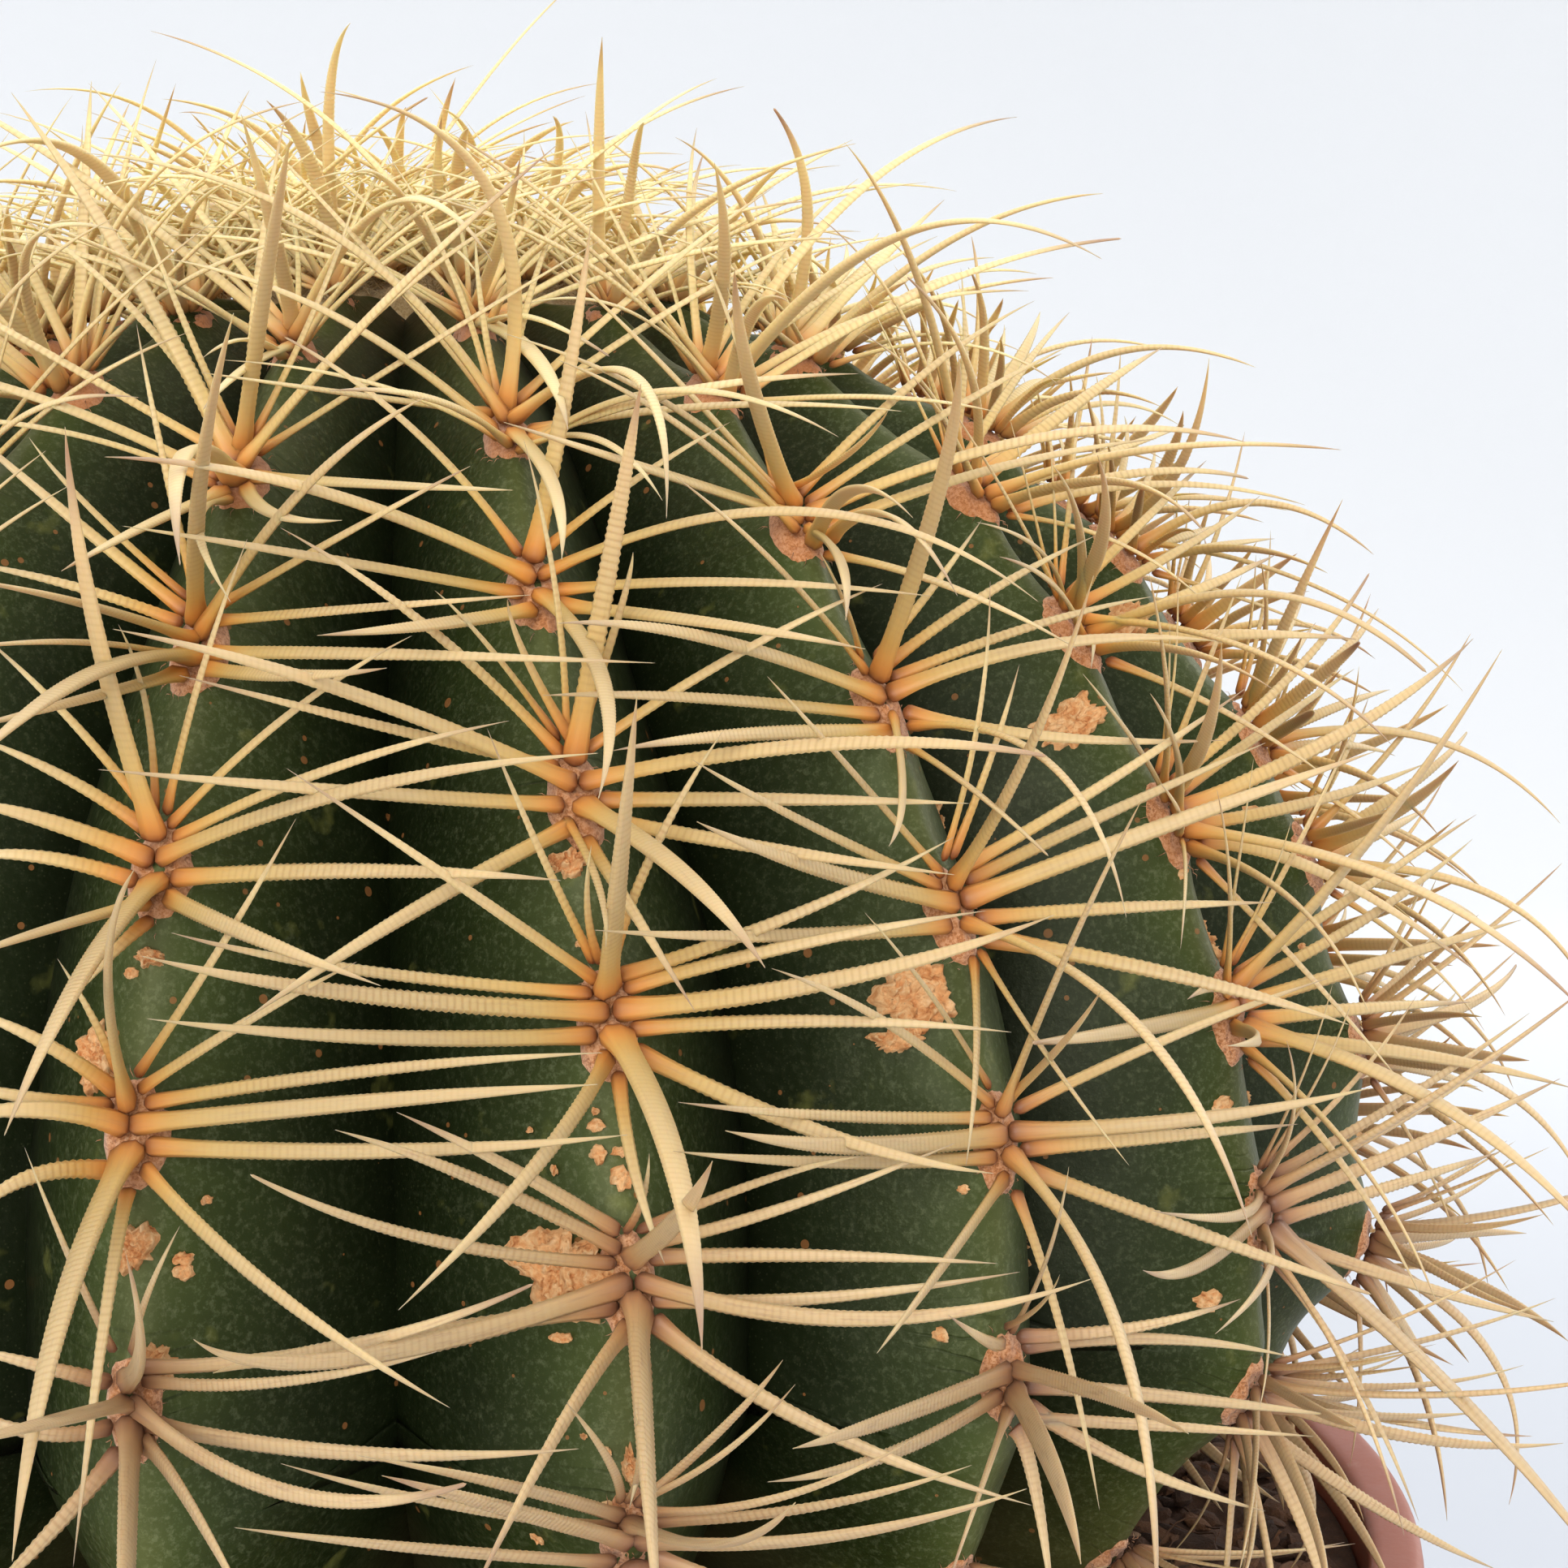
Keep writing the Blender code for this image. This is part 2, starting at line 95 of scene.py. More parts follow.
def makePiece(name, points, quads, triangles, material, slot, stands=(), cornerUv=None, facts=None, flat=False):
    mesh = bpy.data.meshes.new(name)
    quads = np.asarray(quads, dtype=np.int32).reshape(-1, 4)
    triangles = np.asarray(triangles, dtype=np.int32).reshape(-1, 3)
    corners = np.concatenate([quads.ravel(), triangles.ravel()])
    starts = np.concatenate([np.arange(len(quads)) * 4, len(quads) * 4 + np.arange(len(triangles)) * 3])
    mesh.vertices.add(len(points))
    mesh.vertices.foreach_set("co", np.asarray(points, np.float32).ravel())
    mesh.loops.add(len(corners))
    mesh.loops.foreach_set("vertex_index", corners.astype(np.int32))
    mesh.polygons.add(len(starts))
    mesh.polygons.foreach_set("loop_start", starts.astype(np.int32))
    mesh.update(calc_edges=True)
    if cornerUv is not None:
        layer = mesh.uv_layers.new(name="OFBake")
        layer.data.foreach_set("uv", np.asarray(cornerUv, np.float32).ravel())
    for key, values in (facts or {}).items():
        values = np.asarray(values, np.float32)
        kind = "FLOAT_VECTOR" if values.ndim == 2 else "FLOAT"
        layer = mesh.attributes.new(key, kind, "POINT")
        layer.data.foreach_set("vector" if values.ndim == 2 else "value", values.ravel())
    mesh.polygons.foreach_set("use_smooth", np.full(len(starts), not flat))
    mesh.materials.append(material)
    piece = bpy.data.objects.new(name, mesh)
    bpy.context.scene.collection.objects.link(piece)
    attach(piece, "root")
    if stands:
        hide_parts(*stands)
    print(name, len(quads) * 2 + len(triangles), "triangles")
    return piece


def ringQuads(rings, sides, inward=False):
    # between rings of points, each of which closes on itself
    i, j = np.meshgrid(np.arange(rings - 1), np.arange(sides), indexing="ij")
    k = (j + 1) % sides
    quads = np.stack([i * sides + j, (i + 1) * sides + j, (i + 1) * sides + k, i * sides + k], -1).reshape(-1, 4)
    return quads[:, [0, 3, 2, 1]] if inward else quads


def capTriangles(middle, first, sides, inward=False):
    # from a middle point to the ring whose points begin at first
    here, beyond = first + np.arange(sides), first + (np.arange(sides) + 1) % sides
    return np.stack([np.full(sides, middle), beyond, here] if inward else [np.full(sides, middle), here, beyond], -1)


def capUvs(middle, left, right, apex, rim):
    corners = ((middle, apex), (left, rim), (right, rim))
    return np.stack([np.stack([u, np.full(len(u), v)], -1) for u, v in corners], 1).reshape(-1, 2)


def polar(radius, angle, height):
    x, y = radius * np.cos(angle), radius * np.sin(angle)
    return np.stack([x, y, np.full(len(x), height)], -1)


def ease(value, start, end):
    t = np.clip((np.asarray(value, float) - start) / (end - start), 0.0, 1.0)
    return t * t * (3.0 - 2.0 * t)


def unit(v):
    return v / np.linalg.norm(v, axis=-1, keepdims=True)


def rough(points, size, seed=0.0, octaves=2):
    # smooth noise at each point, -1 to 1, with features about `size` metres across
    shift = Vector((seed * 7.13, seed * 3.71, seed * 1.37))
    rows = np.asarray(points).reshape(-1, 3)
    return np.array([noise.fractal(Vector(row) / size + shift, 0.6, 2.1, octaves) for row in rows])


# The camera of the photograph

view = {
    "frame": 1932,            # pixels along each side
    "lens": 55.44,            # mm, on a 36 mm square
    "distance": 279.3 * mm,   # to the middle of the globe
    "elevation": 14.21,       # degrees
    "pan": 8.32,
    "tilt": 8.99,
    "roll": 3.28,
    "aim": np.array([0.0, 0.0, 0.200]),
}


def turned(v, axis, degrees):
    return np.array(Quaternion(Vector(axis), math.radians(degrees)) @ Vector(v))


raised = math.radians(view["elevation"])
eye = view["aim"] + view["distance"] * np.array([0.0, -math.cos(raised), math.sin(raised)])
ahead = unit(view["aim"] - eye)
across = np.array([1.0, 0.0, 0.0])
upward = np.cross(across, ahead)
ahead, across = turned(ahead, upward, -view["pan"]), turned(across, upward, -view["pan"])
ahead, upward = turned(ahead, across, view["tilt"]), turned(upward, across, view["tilt"])
across, upward = turned(across, ahead, view["roll"]), turned(upward, ahead, view["roll"])
focal = view["frame"] * view["lens"] / 36.0

cameraData = bpy.data.cameras.new("camera")
cameraData.lens = view["lens"]
cameraData.sensor_width = 36.0
cameraData.clip_start = 0.01
camera = bpy.data.objects.new("camera", cameraData)
camera.matrix_world = Matrix([[across[i], upward[i], -ahead[i], eye[i]] for i in range(3)] + [[0, 0, 0, 1]])
bpy.context.scene.collection.objects.link(camera)
bpy.context.scene.camera = camera


def toPixel(points):
    d = np.asarray(points, float) - eye
    depth = d @ ahead
    half = view["frame"] / 2.0
    return np.stack([half + focal * (d @ across) / depth, half - focal * (d @ upward) / depth], axis=-1), depth


def sightLine(x, y):
    half = view["frame"] / 2.0
    return unit(ahead + across * (x - half) / focal - upward * (y - half) / focal)


print("camera set")


# The form of the plant, as in its solids

plant = {
    "ribs": 18,                   # an estimate, from the five ribs that were read off the photograph
    "globeRadius": 100.0 * mm,
    "equator": 200.0 * mm,
    "crownRise": 98.4 * mm,
    "crownRoundness": 2.216,
    "lowerFall": 74.1 * mm,
    "lowerRoundness": 1.328,
    "furrowDepth": 14.5 * mm,
    "furrowSharpness": 1.45,
    "youngestFurrow": 0.12,
    "firstAngle": -13.2,          # degrees, of the rib nearest the camera's left
    "areoleSpacing": 19.4 * mm,
    "areoleStart": 1.40,
    "areoleCrowding": 0.90,
    "firstAreole": 3,
    "lastAreole": 11,
    "soilTop": 161.5 * mm,
    "buried": 24.0 * mm,
    "crownDip": 4.0 * mm,
    "swelling": 1.5 * mm,         # of the rib under each areole
}

turn = np.linspace(math.pi / 2, -math.pi / 2, 6001)
power = np.where(turn > 0, plant["crownRoundness"], plant["lowerRoundness"])
tall = np.where(turn > 0, plant["crownRise"], plant["lowerFall"])
c, s = np.abs(np.cos(turn)), np.sin(turn)
c[0] = c[-1] = 0.0
scale = (c ** power + np.abs(s) ** power) ** (-1.0 / power)
crestRadius = plant["globeRadius"] * scale * c
crestHeight = plant["equator"] + tall * scale * s
crestArc = np.concatenate([[0.0], np.cumsum(np.hypot(np.diff(crestRadius), np.diff(crestHeight)))])
slopeR = np.gradient(crestRadius, crestArc)
slopeZ = np.gradient(crestHeight, crestArc)
soilArc = float(np.interp(-plant["soilTop"], -crestHeight, crestArc))


def crestAt(arc):
    out = [np.interp(arc, crestArc, values) for values in (crestRadius, crestHeight, -slopeZ, slopeR)]
    length = np.hypot(out[2], out[3])
    return out[0], out[1], out[2] / length, out[3] / length


def areoleArc(step):
    crowding = plant["areoleCrowding"]
    return plant["areoleSpacing"] * crowding * math.log(1.0 + math.exp((step - plant["areoleStart"]) / crowding))


def ribShift(rib):
    return (1 - (rib + 1) % 3) / 3.0


def furrowAt(arc):
    youngest = plant["youngestFurrow"]
    grown = youngest + (1.0 - youngest) * ease(arc, 14 * mm, 85 * mm)
    return plant["furrowDepth"] * grown * (1.0 - ease(arc, soilArc - 6 * mm, soilArc + 22 * mm))


def bodyFrame(arc, angle):
    # point on the crest outline, outward normal, down the rib, and to the right
    radius, height, out, up = crestAt(arc)
    side = np.stack([np.cos(angle), np.sin(angle), np.zeros_like(angle)], axis=-1)
    radial = np.stack([np.sin(angle), -np.cos(angle), np.zeros_like(angle)], axis=-1)
    z = np.array([0.0, 0.0, 1.0])
    point = radial * radius[..., None] + z * height[..., None]
    normal = radial * out[..., None] + z * up[..., None]
    down = radial * up[..., None] - z * out[..., None]
    return point, normal, down, side


# Areoles that the photograph shows: the rib, the first areole's step, and their middles in pixels
seenAreoles = {
    0: (5, [(295, 567), (241, 778), (192, 1051), (156, 1379), (156, 1723)]),
    1: (5, [(627, 513), (658, 703), (712, 957), (754, 1238), (783, 1571), (779, 1897)]),
    2: (4, [(881, 462), (985, 630), (1089, 850), (1182, 1104), (1243, 1388), (1247, 1683)]),
    3: (5, [(1200, 590), (1308, 770), (1431, 1002), (1520, 1235), (1562, 1482), (1534, 1709)]),
    4: (7, [(1522, 904), (1620, 1040), (1685, 1270)]),
}
# Each may move along its rib and up to 3 degrees round the globe to meet its pixel. Five of the six on rib 3
# and one of the three on rib 4 stop at that limit, up to 30 pixels off. The other 20 meet it within a pixel.
meeting = {"along": 7.0, "round": 3.0}      # mm and degrees
cushionHeight = 2.2 * mm      # middle of an areole's felt above the crest outline
ribs = plant["ribs"]
steps = range(plant["firstAreole"], plant["lastAreole"] + 1)
areoleArcs = {(rib, step): areoleArc(step + ribShift(rib)) for rib in range(ribs) for step in steps}
wanderArc = np.linspace(0.0, 0.26, 131)
wander = np.zeros((ribs + 1, len(wanderArc)))
for rib in range(ribs):
    base = math.radians(plant["firstAngle"]) + fullTurn * rib / ribs
    if rib in seenAreoles:
        firstStep, pixels = seenAreoles[rib]
        found = []
        for i, pixel in enumerate(pixels):
            rule = areoleArcs[(rib, firstStep + i)]
            moves = np.linspace(-meeting["along"], meeting["along"], 141) * mm
            turns = np.radians(np.linspace(-meeting["round"], meeting["round"], 121))
            tryArc, tryTurn = np.meshgrid(rule + moves, turns)
            point, normal, down, side = bodyFrame(tryArc, base + tryTurn)
            seen, depth = toPixel(point + normal * cushionHeight)
            miss = np.hypot(seen[..., 0] - pixel[0], seen[..., 1] - pixel[1])
            best = np.unravel_index(np.argmin(miss), miss.shape)
            areoleArcs[(rib, firstStep + i)] = float(tryArc[best])
            found.append((float(tryArc[best]), float(tryTurn[best])))
            print("areole %d %d moved %.2f mm, turned %.2f degrees, misses by %.1f pixels" % (
                rib, firstStep + i, (tryArc[best] - rule) / mm, math.degrees(tryTurn[best]), miss[best]))
        row = np.interp(wanderArc, [f[0] for f in found], [f[1] for f in found])
        row *= ease(wanderArc, 0.0, found[0][0])
        row *= 1.0 - ease(wanderArc, found[-1][0] + 10 * mm, found[-1][0] + 60 * mm)
    else:
        row = np.radians(0.7) * np.array([noise.noise(Vector((rib * 3.7, a / 0.05, 0.5))) for a in wanderArc])
        row = row * ease(wanderArc, 0, 0.05)
    kernel = np.exp(-0.5 * (np.arange(-6, 7) * 2.0 / 4.0) ** 2)
    wander[rib] = np.convolve(np.pad(row, 6, mode="edge"), kernel / kernel.sum(), mode="valid")
wander[ribs] = wander[0]


def ribAngle(place, arc):
    # place counts ribs round the plant: whole numbers are crests, halves are furrows
    place = np.asarray(place, float)
    arc = np.asarray(arc, float)
    low = np.floor(place).astype(int)
    part = place - low
    column = np.clip(arc / (wanderArc[1] - wanderArc[0]), 0, len(wanderArc) - 1.001)
    i = np.floor(column).astype(int)
    f = column - i
    def sample(rib):
        rib = np.mod(rib, ribs)
        return wander[rib, i] * (1 - f) + wander[rib, i + 1] * f
    bend = sample(low) * (1 - part) + sample(low + 1) * part
    return math.radians(plant["firstAngle"]) + fullTurn * place / ribs + bend


def skinPoint(place, arc):
    place = np.asarray(place, float)
    arc = np.asarray(arc, float)
    angle = ribAngle(place, arc)
    point, normal, down, side = bodyFrame(arc, angle)
    nearest = np.round(place).astype(int)
    acrossRib = (place - nearest) * 2.0
    height = -furrowAt(arc) * np.abs(acrossRib) ** plant["furrowSharpness"]
    swell = np.zeros_like(arc)
    for step in steps:
        middle = np.array([areoleArcs[(rib, step)] for rib in range(ribs)])[np.mod(nearest, ribs)]
        swell = swell + np.exp(-((arc - middle - 1.0 * mm) / (6.0 * mm)) ** 2 - (acrossRib / 0.30) ** 2)
    height = height + plant["swelling"] * swell
    height = height - plant["crownDip"] * (1.0 - ease(arc, 9 * mm, 24 * mm))
    return point + normal * height[..., None], normal


# Waxy cactus skin: a living epidermis with a thin bloom of wax, so it is a soft satin green, greyer on the crests and
# darkened to near black down the furrows as painted shade, with pale pores, faint creases and a few rusty specks.
def waxySkin():
    material, add, surface = newMaterial("waxyCactusSkin", Roughness=0.46, IOR=1.45, **{
        "Specular IOR Level": 0.27, "Specular Tint": (0.95, 0.98, 0.74, 1.0)})
    place = add("TexCoord").outputs["Object"]
    facts = add("SeparateXYZ", {0: add("Attribute", {"attribute_name": "skinFacts"}).outputs["Vector"]})
    crest, step, age = facts.outputs[0], facts.outputs[1], facts.outputs[2]
    blotch = add("TexNoise", {"Scale": 1 / (11 * mm), "Detail": 4.0, "Roughness": 0.6, "Vector": place})
    grain = add("TexNoise", {"Scale": 1 / (0.55 * mm), "Detail": 4.0, "Roughness": 0.7, "Vector": place})
    pores = add("TexVoronoi", {"Scale": 1 / (0.42 * mm), "Vector": place})
    # from crest to furrow: greyer green on the crests, then near black down in the furrows as painted shade of the
    # ribs
    greenShadedToFurrows = add("ValToRGB", {
        "ramp": [(0.0, "#0b1204"), (0.35, "#151e08"), (0.66, "#252f0f"), (0.86, "#39431d"), (1.0, "#4e542d")],
        "Fac": crest})
    mottled = add("Mix", {"data_type": "RGBA", "blend_type": "SOFT_LIGHT", 0: 0.55, 6: greenShadedToFurrows, 7: blotch})
    bloomShare = add("MapRange", {"range": (0.5, 0.78, 0.0, 0.40), 0: grain})
    bloomPlace = add("Math", {"operation": "MULTIPLY", 0: bloomShare, 1: crest})
    bloom = add("Mix", {"data_type": "RGBA", 7: linear("#8f9570"), 0: bloomPlace, 6: mottled})
    poreShare = add("MapRange", {"range": (0.10, 0.24, 0.10, 0.0), 0: pores})
    pored = add("Mix", {"data_type": "RGBA", 7: linear("#7c815a"), 0: poreShare, 6: bloom})
    rustNoise = add("TexVoronoi", {"Scale": 1 / (3.4 * mm), "Randomness": 1.0, "Vector": place})
    rustSize = add("MapRange", {"range": (0.35, 0.70, 0.02, 0.15), 0: blotch})
    rustShare = add("Math", {
        "operation": "MULTIPLY", 1: 0.7, 0: add("Math", {"operation": "LESS_THAN", 0: rustNoise, 1: rustSize})})
    rusty = add("Mix", {"data_type": "RGBA", 7: linear("#8d5c33"), 0: rustShare, 6: pored})
    yellowNoise = add("TexNoise", {"Scale": 1 / (4.0 * mm), "Detail": 3.0, "Vector": place})
    yellowShare = add("MapRange", {"range": (0.66, 0.80, 0.0, 0.35), 0: yellowNoise})
    yellowed = add("Mix", {"data_type": "RGBA", 7: linear("#8a8a45"), 0: yellowShare, 6: rusty})
    # creases run round the rib just above each areole, bowed like a frown, about 1.2 mm apart
    bowed = add("Math", {"operation": "MULTIPLY_ADD", 1: -0.10, 0: crest, 2: step})
    wobble = add("TexNoise", {"Scale": 1 / (7 * mm), "Detail": 2.0, "Vector": place})
    creasePlace = add("Math", {"operation": "MULTIPLY_ADD", 1: 0.16, 0: wobble, 2: bowed})
    creaseWave = add("Math", {
        "operation": "SINE", 0: add("Math", {"operation": "MULTIPLY", 1: fullTurn * 13.0, 0: creasePlace})})
    creaseLine = add("MapRange", {"range": (0.80, 1.0, 0.0, 1.0), 0: creaseWave})
    creaseNear = add("MapRange", {
        "range": (0.60, 0.85, 0.0, 1.0), 0: add("Math", {"operation": "FRACT", 0: bowed})})
    creasePatch = add("MapRange", {
        "range": (0.42, 0.60, 0.0, 1.0),
        0: add("TexNoise", {"Scale": 1 / (9 * mm), "Detail": 1.0, "Vector": place})})
    creaseCrest = add("MapRange", {"range": (0.58, 0.92, 0.0, 1.0), 0: crest})
    creased = add("Math", {"operation": "MULTIPLY", 0: creaseLine, 1: creaseNear})
    creasedSome = add("Math", {"operation": "MULTIPLY", 0: creased, 1: creasePatch})
    creaseShown = add("Math", {"operation": "MULTIPLY", 0: creasedSome, 1: creaseCrest})
    # the crease lines are darkened here as painted shade, on top of their dents in the bump
    shaded = add("Mix", {
        "data_type": "RGBA", "blend_type": "MULTIPLY", 7: linear("#a8b19c"), 0: creaseShown, 6: yellowed})
    corkNear = add("MapRange", {"range": (0.90, 1.0, 0.0, 0.60), 0: age})
    corkPatch = add("Math", {"operation": "MULTIPLY", 0: corkNear, 1: blotch})
    oldSkin = add("Mix", {"data_type": "RGBA", 7: linear("#6c5f3c"), 0: corkPatch, 6: shaded})
    fill(surface, {"Base Color": oldSkin})
    relief = add("Bump", {"Strength": 0.5, "Distance": 0.10 * mm, "Height": grain})
    dents = add("Bump", {
        "Strength": 0.6, "Distance": 0.18 * mm, "invert": True, "Height": creaseShown, "Normal": relief})
    lumps = add("Bump", {"Strength": 0.5, "Distance": 0.8 * mm, "Height": blotch, "Normal": dents})
    fill(surface, {"Normal": lumps})
    return material


skin = {
    "columnsPerRib": 24,
    "rings": 228,
    "closing": 1.25,          # columns are closer together near the furrow
    "closingShare": 0.35,
    "lumpSize": 9 * mm,
    "lumpRise": 0.35 * mm,
}
columns = skin["columnsPerRib"] * ribs
half = np.linspace(-1, 1, skin["columnsPerRib"] + 1)[:-1]
closed = np.sign(half) * (1 - (1 - np.abs(half)) ** skin["closing"])
half = 0.5 * (closed * skin["closingShare"] + half * (1 - skin["closingShare"]))
places = (np.arange(ribs)[:, None] + half[None, :]).ravel()
lastArc = soilArc + plant["buried"]
arcs = np.linspace(0.4 * mm, lastArc, skin["rings"])
placeGrid, arcGrid = np.meshgrid(np.mod(places, ribs), arcs)
placeWrapped, _ = np.meshgrid(places, arcs)
skinGrid, skinNormal = skinPoint(placeGrid, arcGrid)
skinPoints = skinGrid.reshape(-1, 3)
lump = rough(skinPoints, skin["lumpSize"], 4.0) * skin["lumpRise"]
skinPoints = skinPoints + skinNormal.reshape(-1, 3) * lump[:, None]
ringCount = skin["rings"]
top = skinPoints[:columns].mean(axis=0) * [0, 0, 1]
bottom = skinPoints[-columns:].mean(axis=0) * [0, 0, 1]
i, j = np.meshgrid(np.arange(ringCount - 1), np.arange(columns), indexing="ij")
skinUv = np.stack([np.stack([(j + dj) / columns, 1.0 - arcs[i + di] / lastArc], axis=-1)
                   for di, dj in ((0, 0), (1, 0), (1, 1), (0, 1))], axis=2).reshape(-1, 4, 2)
ring = np.arange(columns)
skinTriangles = np.concatenate([capTriangles(len(skinPoints), 0, columns),
                                capTriangles(len(skinPoints) + 1, (ringCount - 1) * columns, columns, inward=True)])
left, right, middle = [(ring + d) / columns for d in (0.0, 1.0, 0.5)]
capUv = np.concatenate([capUvs(middle, left, right, 1.0, 0.999), capUvs(middle, right, left, 0.0, 0.001)])
crestShare = 1.0 - np.abs((placeWrapped - np.round(placeWrapped)) * 2.0)
stepRows = np.zeros_like(arcGrid)
for rib in range(ribs):
    ownColumns = np.arange(rib * skin["columnsPerRib"], (rib + 1) * skin["columnsPerRib"])
    known = [areoleArcs[(rib, step)] for step in steps]
    known, counted = [0.0] + known + [known[-1] + 20 * mm], [0.0] + list(steps) + [steps[-1] + 1.0]
    stepRows[:, ownColumns] = np.interp(arcGrid[:, ownColumns], known, counted)
skinFacts = np.stack([crestShare.ravel(), stepRows.ravel(), ease(arcGrid, 0.03, 0.21).ravel()], axis=-1)
skinFacts = np.concatenate([skinFacts, [[1.0, 0.0, 0.0], [1.0, 12.0, 1.0]]])
skinPiece = makePiece("cactus_skin", np.concatenate([skinPoints, [top, bottom]]), ringQuads(ringCount, columns),
                      skinTriangles, waxySkin(), "cactus", stands=("cactus_stem",),
                      cornerUv=np.concatenate([skinUv.reshape(-1, 2), capUv]), facts={"skinFacts": skinFacts})
# the bottom of each furrow is a sharp fold
ends = np.zeros(len(skinPiece.data.edges) * 2, np.int32)
skinPiece.data.edges.foreach_get("vertices", ends)
ends = ends.reshape(-1, 2)
inFurrow = (ends % columns) % skin["columnsPerRib"] == 0
lengthways = np.abs(ends[:, 0] - ends[:, 1]) == columns
folded = inFurrow.all(axis=1) & (ends < len(skinPoints)).all(axis=1) & lengthways
sharp = skinPiece.data.attributes.new("sharp_edge", "BOOLEAN", "EDGE")
sharp.data.foreach_set("value", folded)


# Spines

spineLook = {
    "ringPitch": 0.60 * mm,     # growth rings: three of five lines measured in the photograph gave 0.47 to 0.71 mm
    "ringRelief": 0.060,        # of the half width
    "flatness": 0.42,           # thickness over width
    "sunk": 0.10 * mm,          # how far a root goes into the felt
    "seed": 41,
    "turnDrawn": 15,            # degrees, from one end of the draw to the other
    "riseDrawn": 11,
    "lengthDrawn": 0.26,        # of the length
    "widthDrawn": 0.2,          # of the width
    "lowest": 0.70,             # of the full length, for spines by the mix
    "coarsePitch": 1.5 * mm,    # between rings of points on ribs that the camera doesn't see
    "crownLean": {"up": 16},    # degrees that spines of the crown lie lower, by kind
    "otherLean": 12,
    "bluntEnd": 0.93,           # of the length, where a broken tip ends
    "taper": 2.7,               # the higher, the nearer its tip a spine narrows
    "domeReach": 0.6 * mm,      # of the rounded root
    "footReach": 2.4 * mm,      # of the wider foot
    "thickReach": 2.6 * mm,     # of the thicker foot
    "cellMargin": 0.06,         # free at each side of a spine's strip of the uv map
    "endMargin": 0.01,
}
# each kind: across and down the felt in mm, width, length, turn from straight down towards the right,
# rise, arch, how often
spineKinds = {
    "up":          (-0.15, -1.10, 1.60, 37, 177, 56, 0.03, 1.00),
    "right":       (0.15, 0.35, 1.40, 36, 100, 38, 0.05, 1.00),
    "left":        (-0.15, 0.50, 1.45, 37, -97, 36, 0.05, 1.00),
    "down":        (0.15, 2.10, 2.00, 42, 4, 44, 0.12, 1.00),
    "leftHigh":    (-1.20, -0.95, 1.00, 33, -101, 27, 0.04, 1.00),
    "leftLow":     (-1.20, 2.10, 1.20, 34, -90, 25, 0.04, 1.00),
    "rightUp":     (0.65, -2.10, 0.95, 31, 118, 29, 0.04, 1.00),
    "rightHigh":   (1.10, -1.15, 1.00, 32, 104, 27, 0.04, 0.90),
    "rightLow":    (1.25, 1.85, 1.20, 33, 86, 25, 0.04, 1.00),
    "upLeft":      (-0.85, -1.85, 1.00, 33, -127, 31, 0.04, 1.00),
    "thinUpLeft":  (-0.95, -3.20, 0.70, 24, -156, 36, 0.02, 0.75),
    "thinUp":      (-0.45, -3.05, 0.60, 18, -172, 38, 0.02, 0.45),
    "thinUpRight": (0.40, -3.10, 0.75, 25, 156, 36, 0.02, 0.75),
    "downLeft":    (-0.55, 3.70, 1.35, 35, -34, 37, 0.06, 1.00),
    "thinDownLeft": (-1.20, 3.10, 0.70, 30, -74, 24, 0.04, 0.45),
    "downRight":   (1.20, 3.30, 1.25, 35, 62, 31, 0.06, 1.00),
    "downLow":     (0.15, 4.90, 1.00, 28, 10, 22, 0.04, 0.75),
    "extraUp":     (0.20, -2.60, 0.85, 27, 165, 42, 0.03, 0.0),
    "extraLow":    (0.95, 4.40, 1.05, 33, 40, 32, 0.05, 0.0),
}
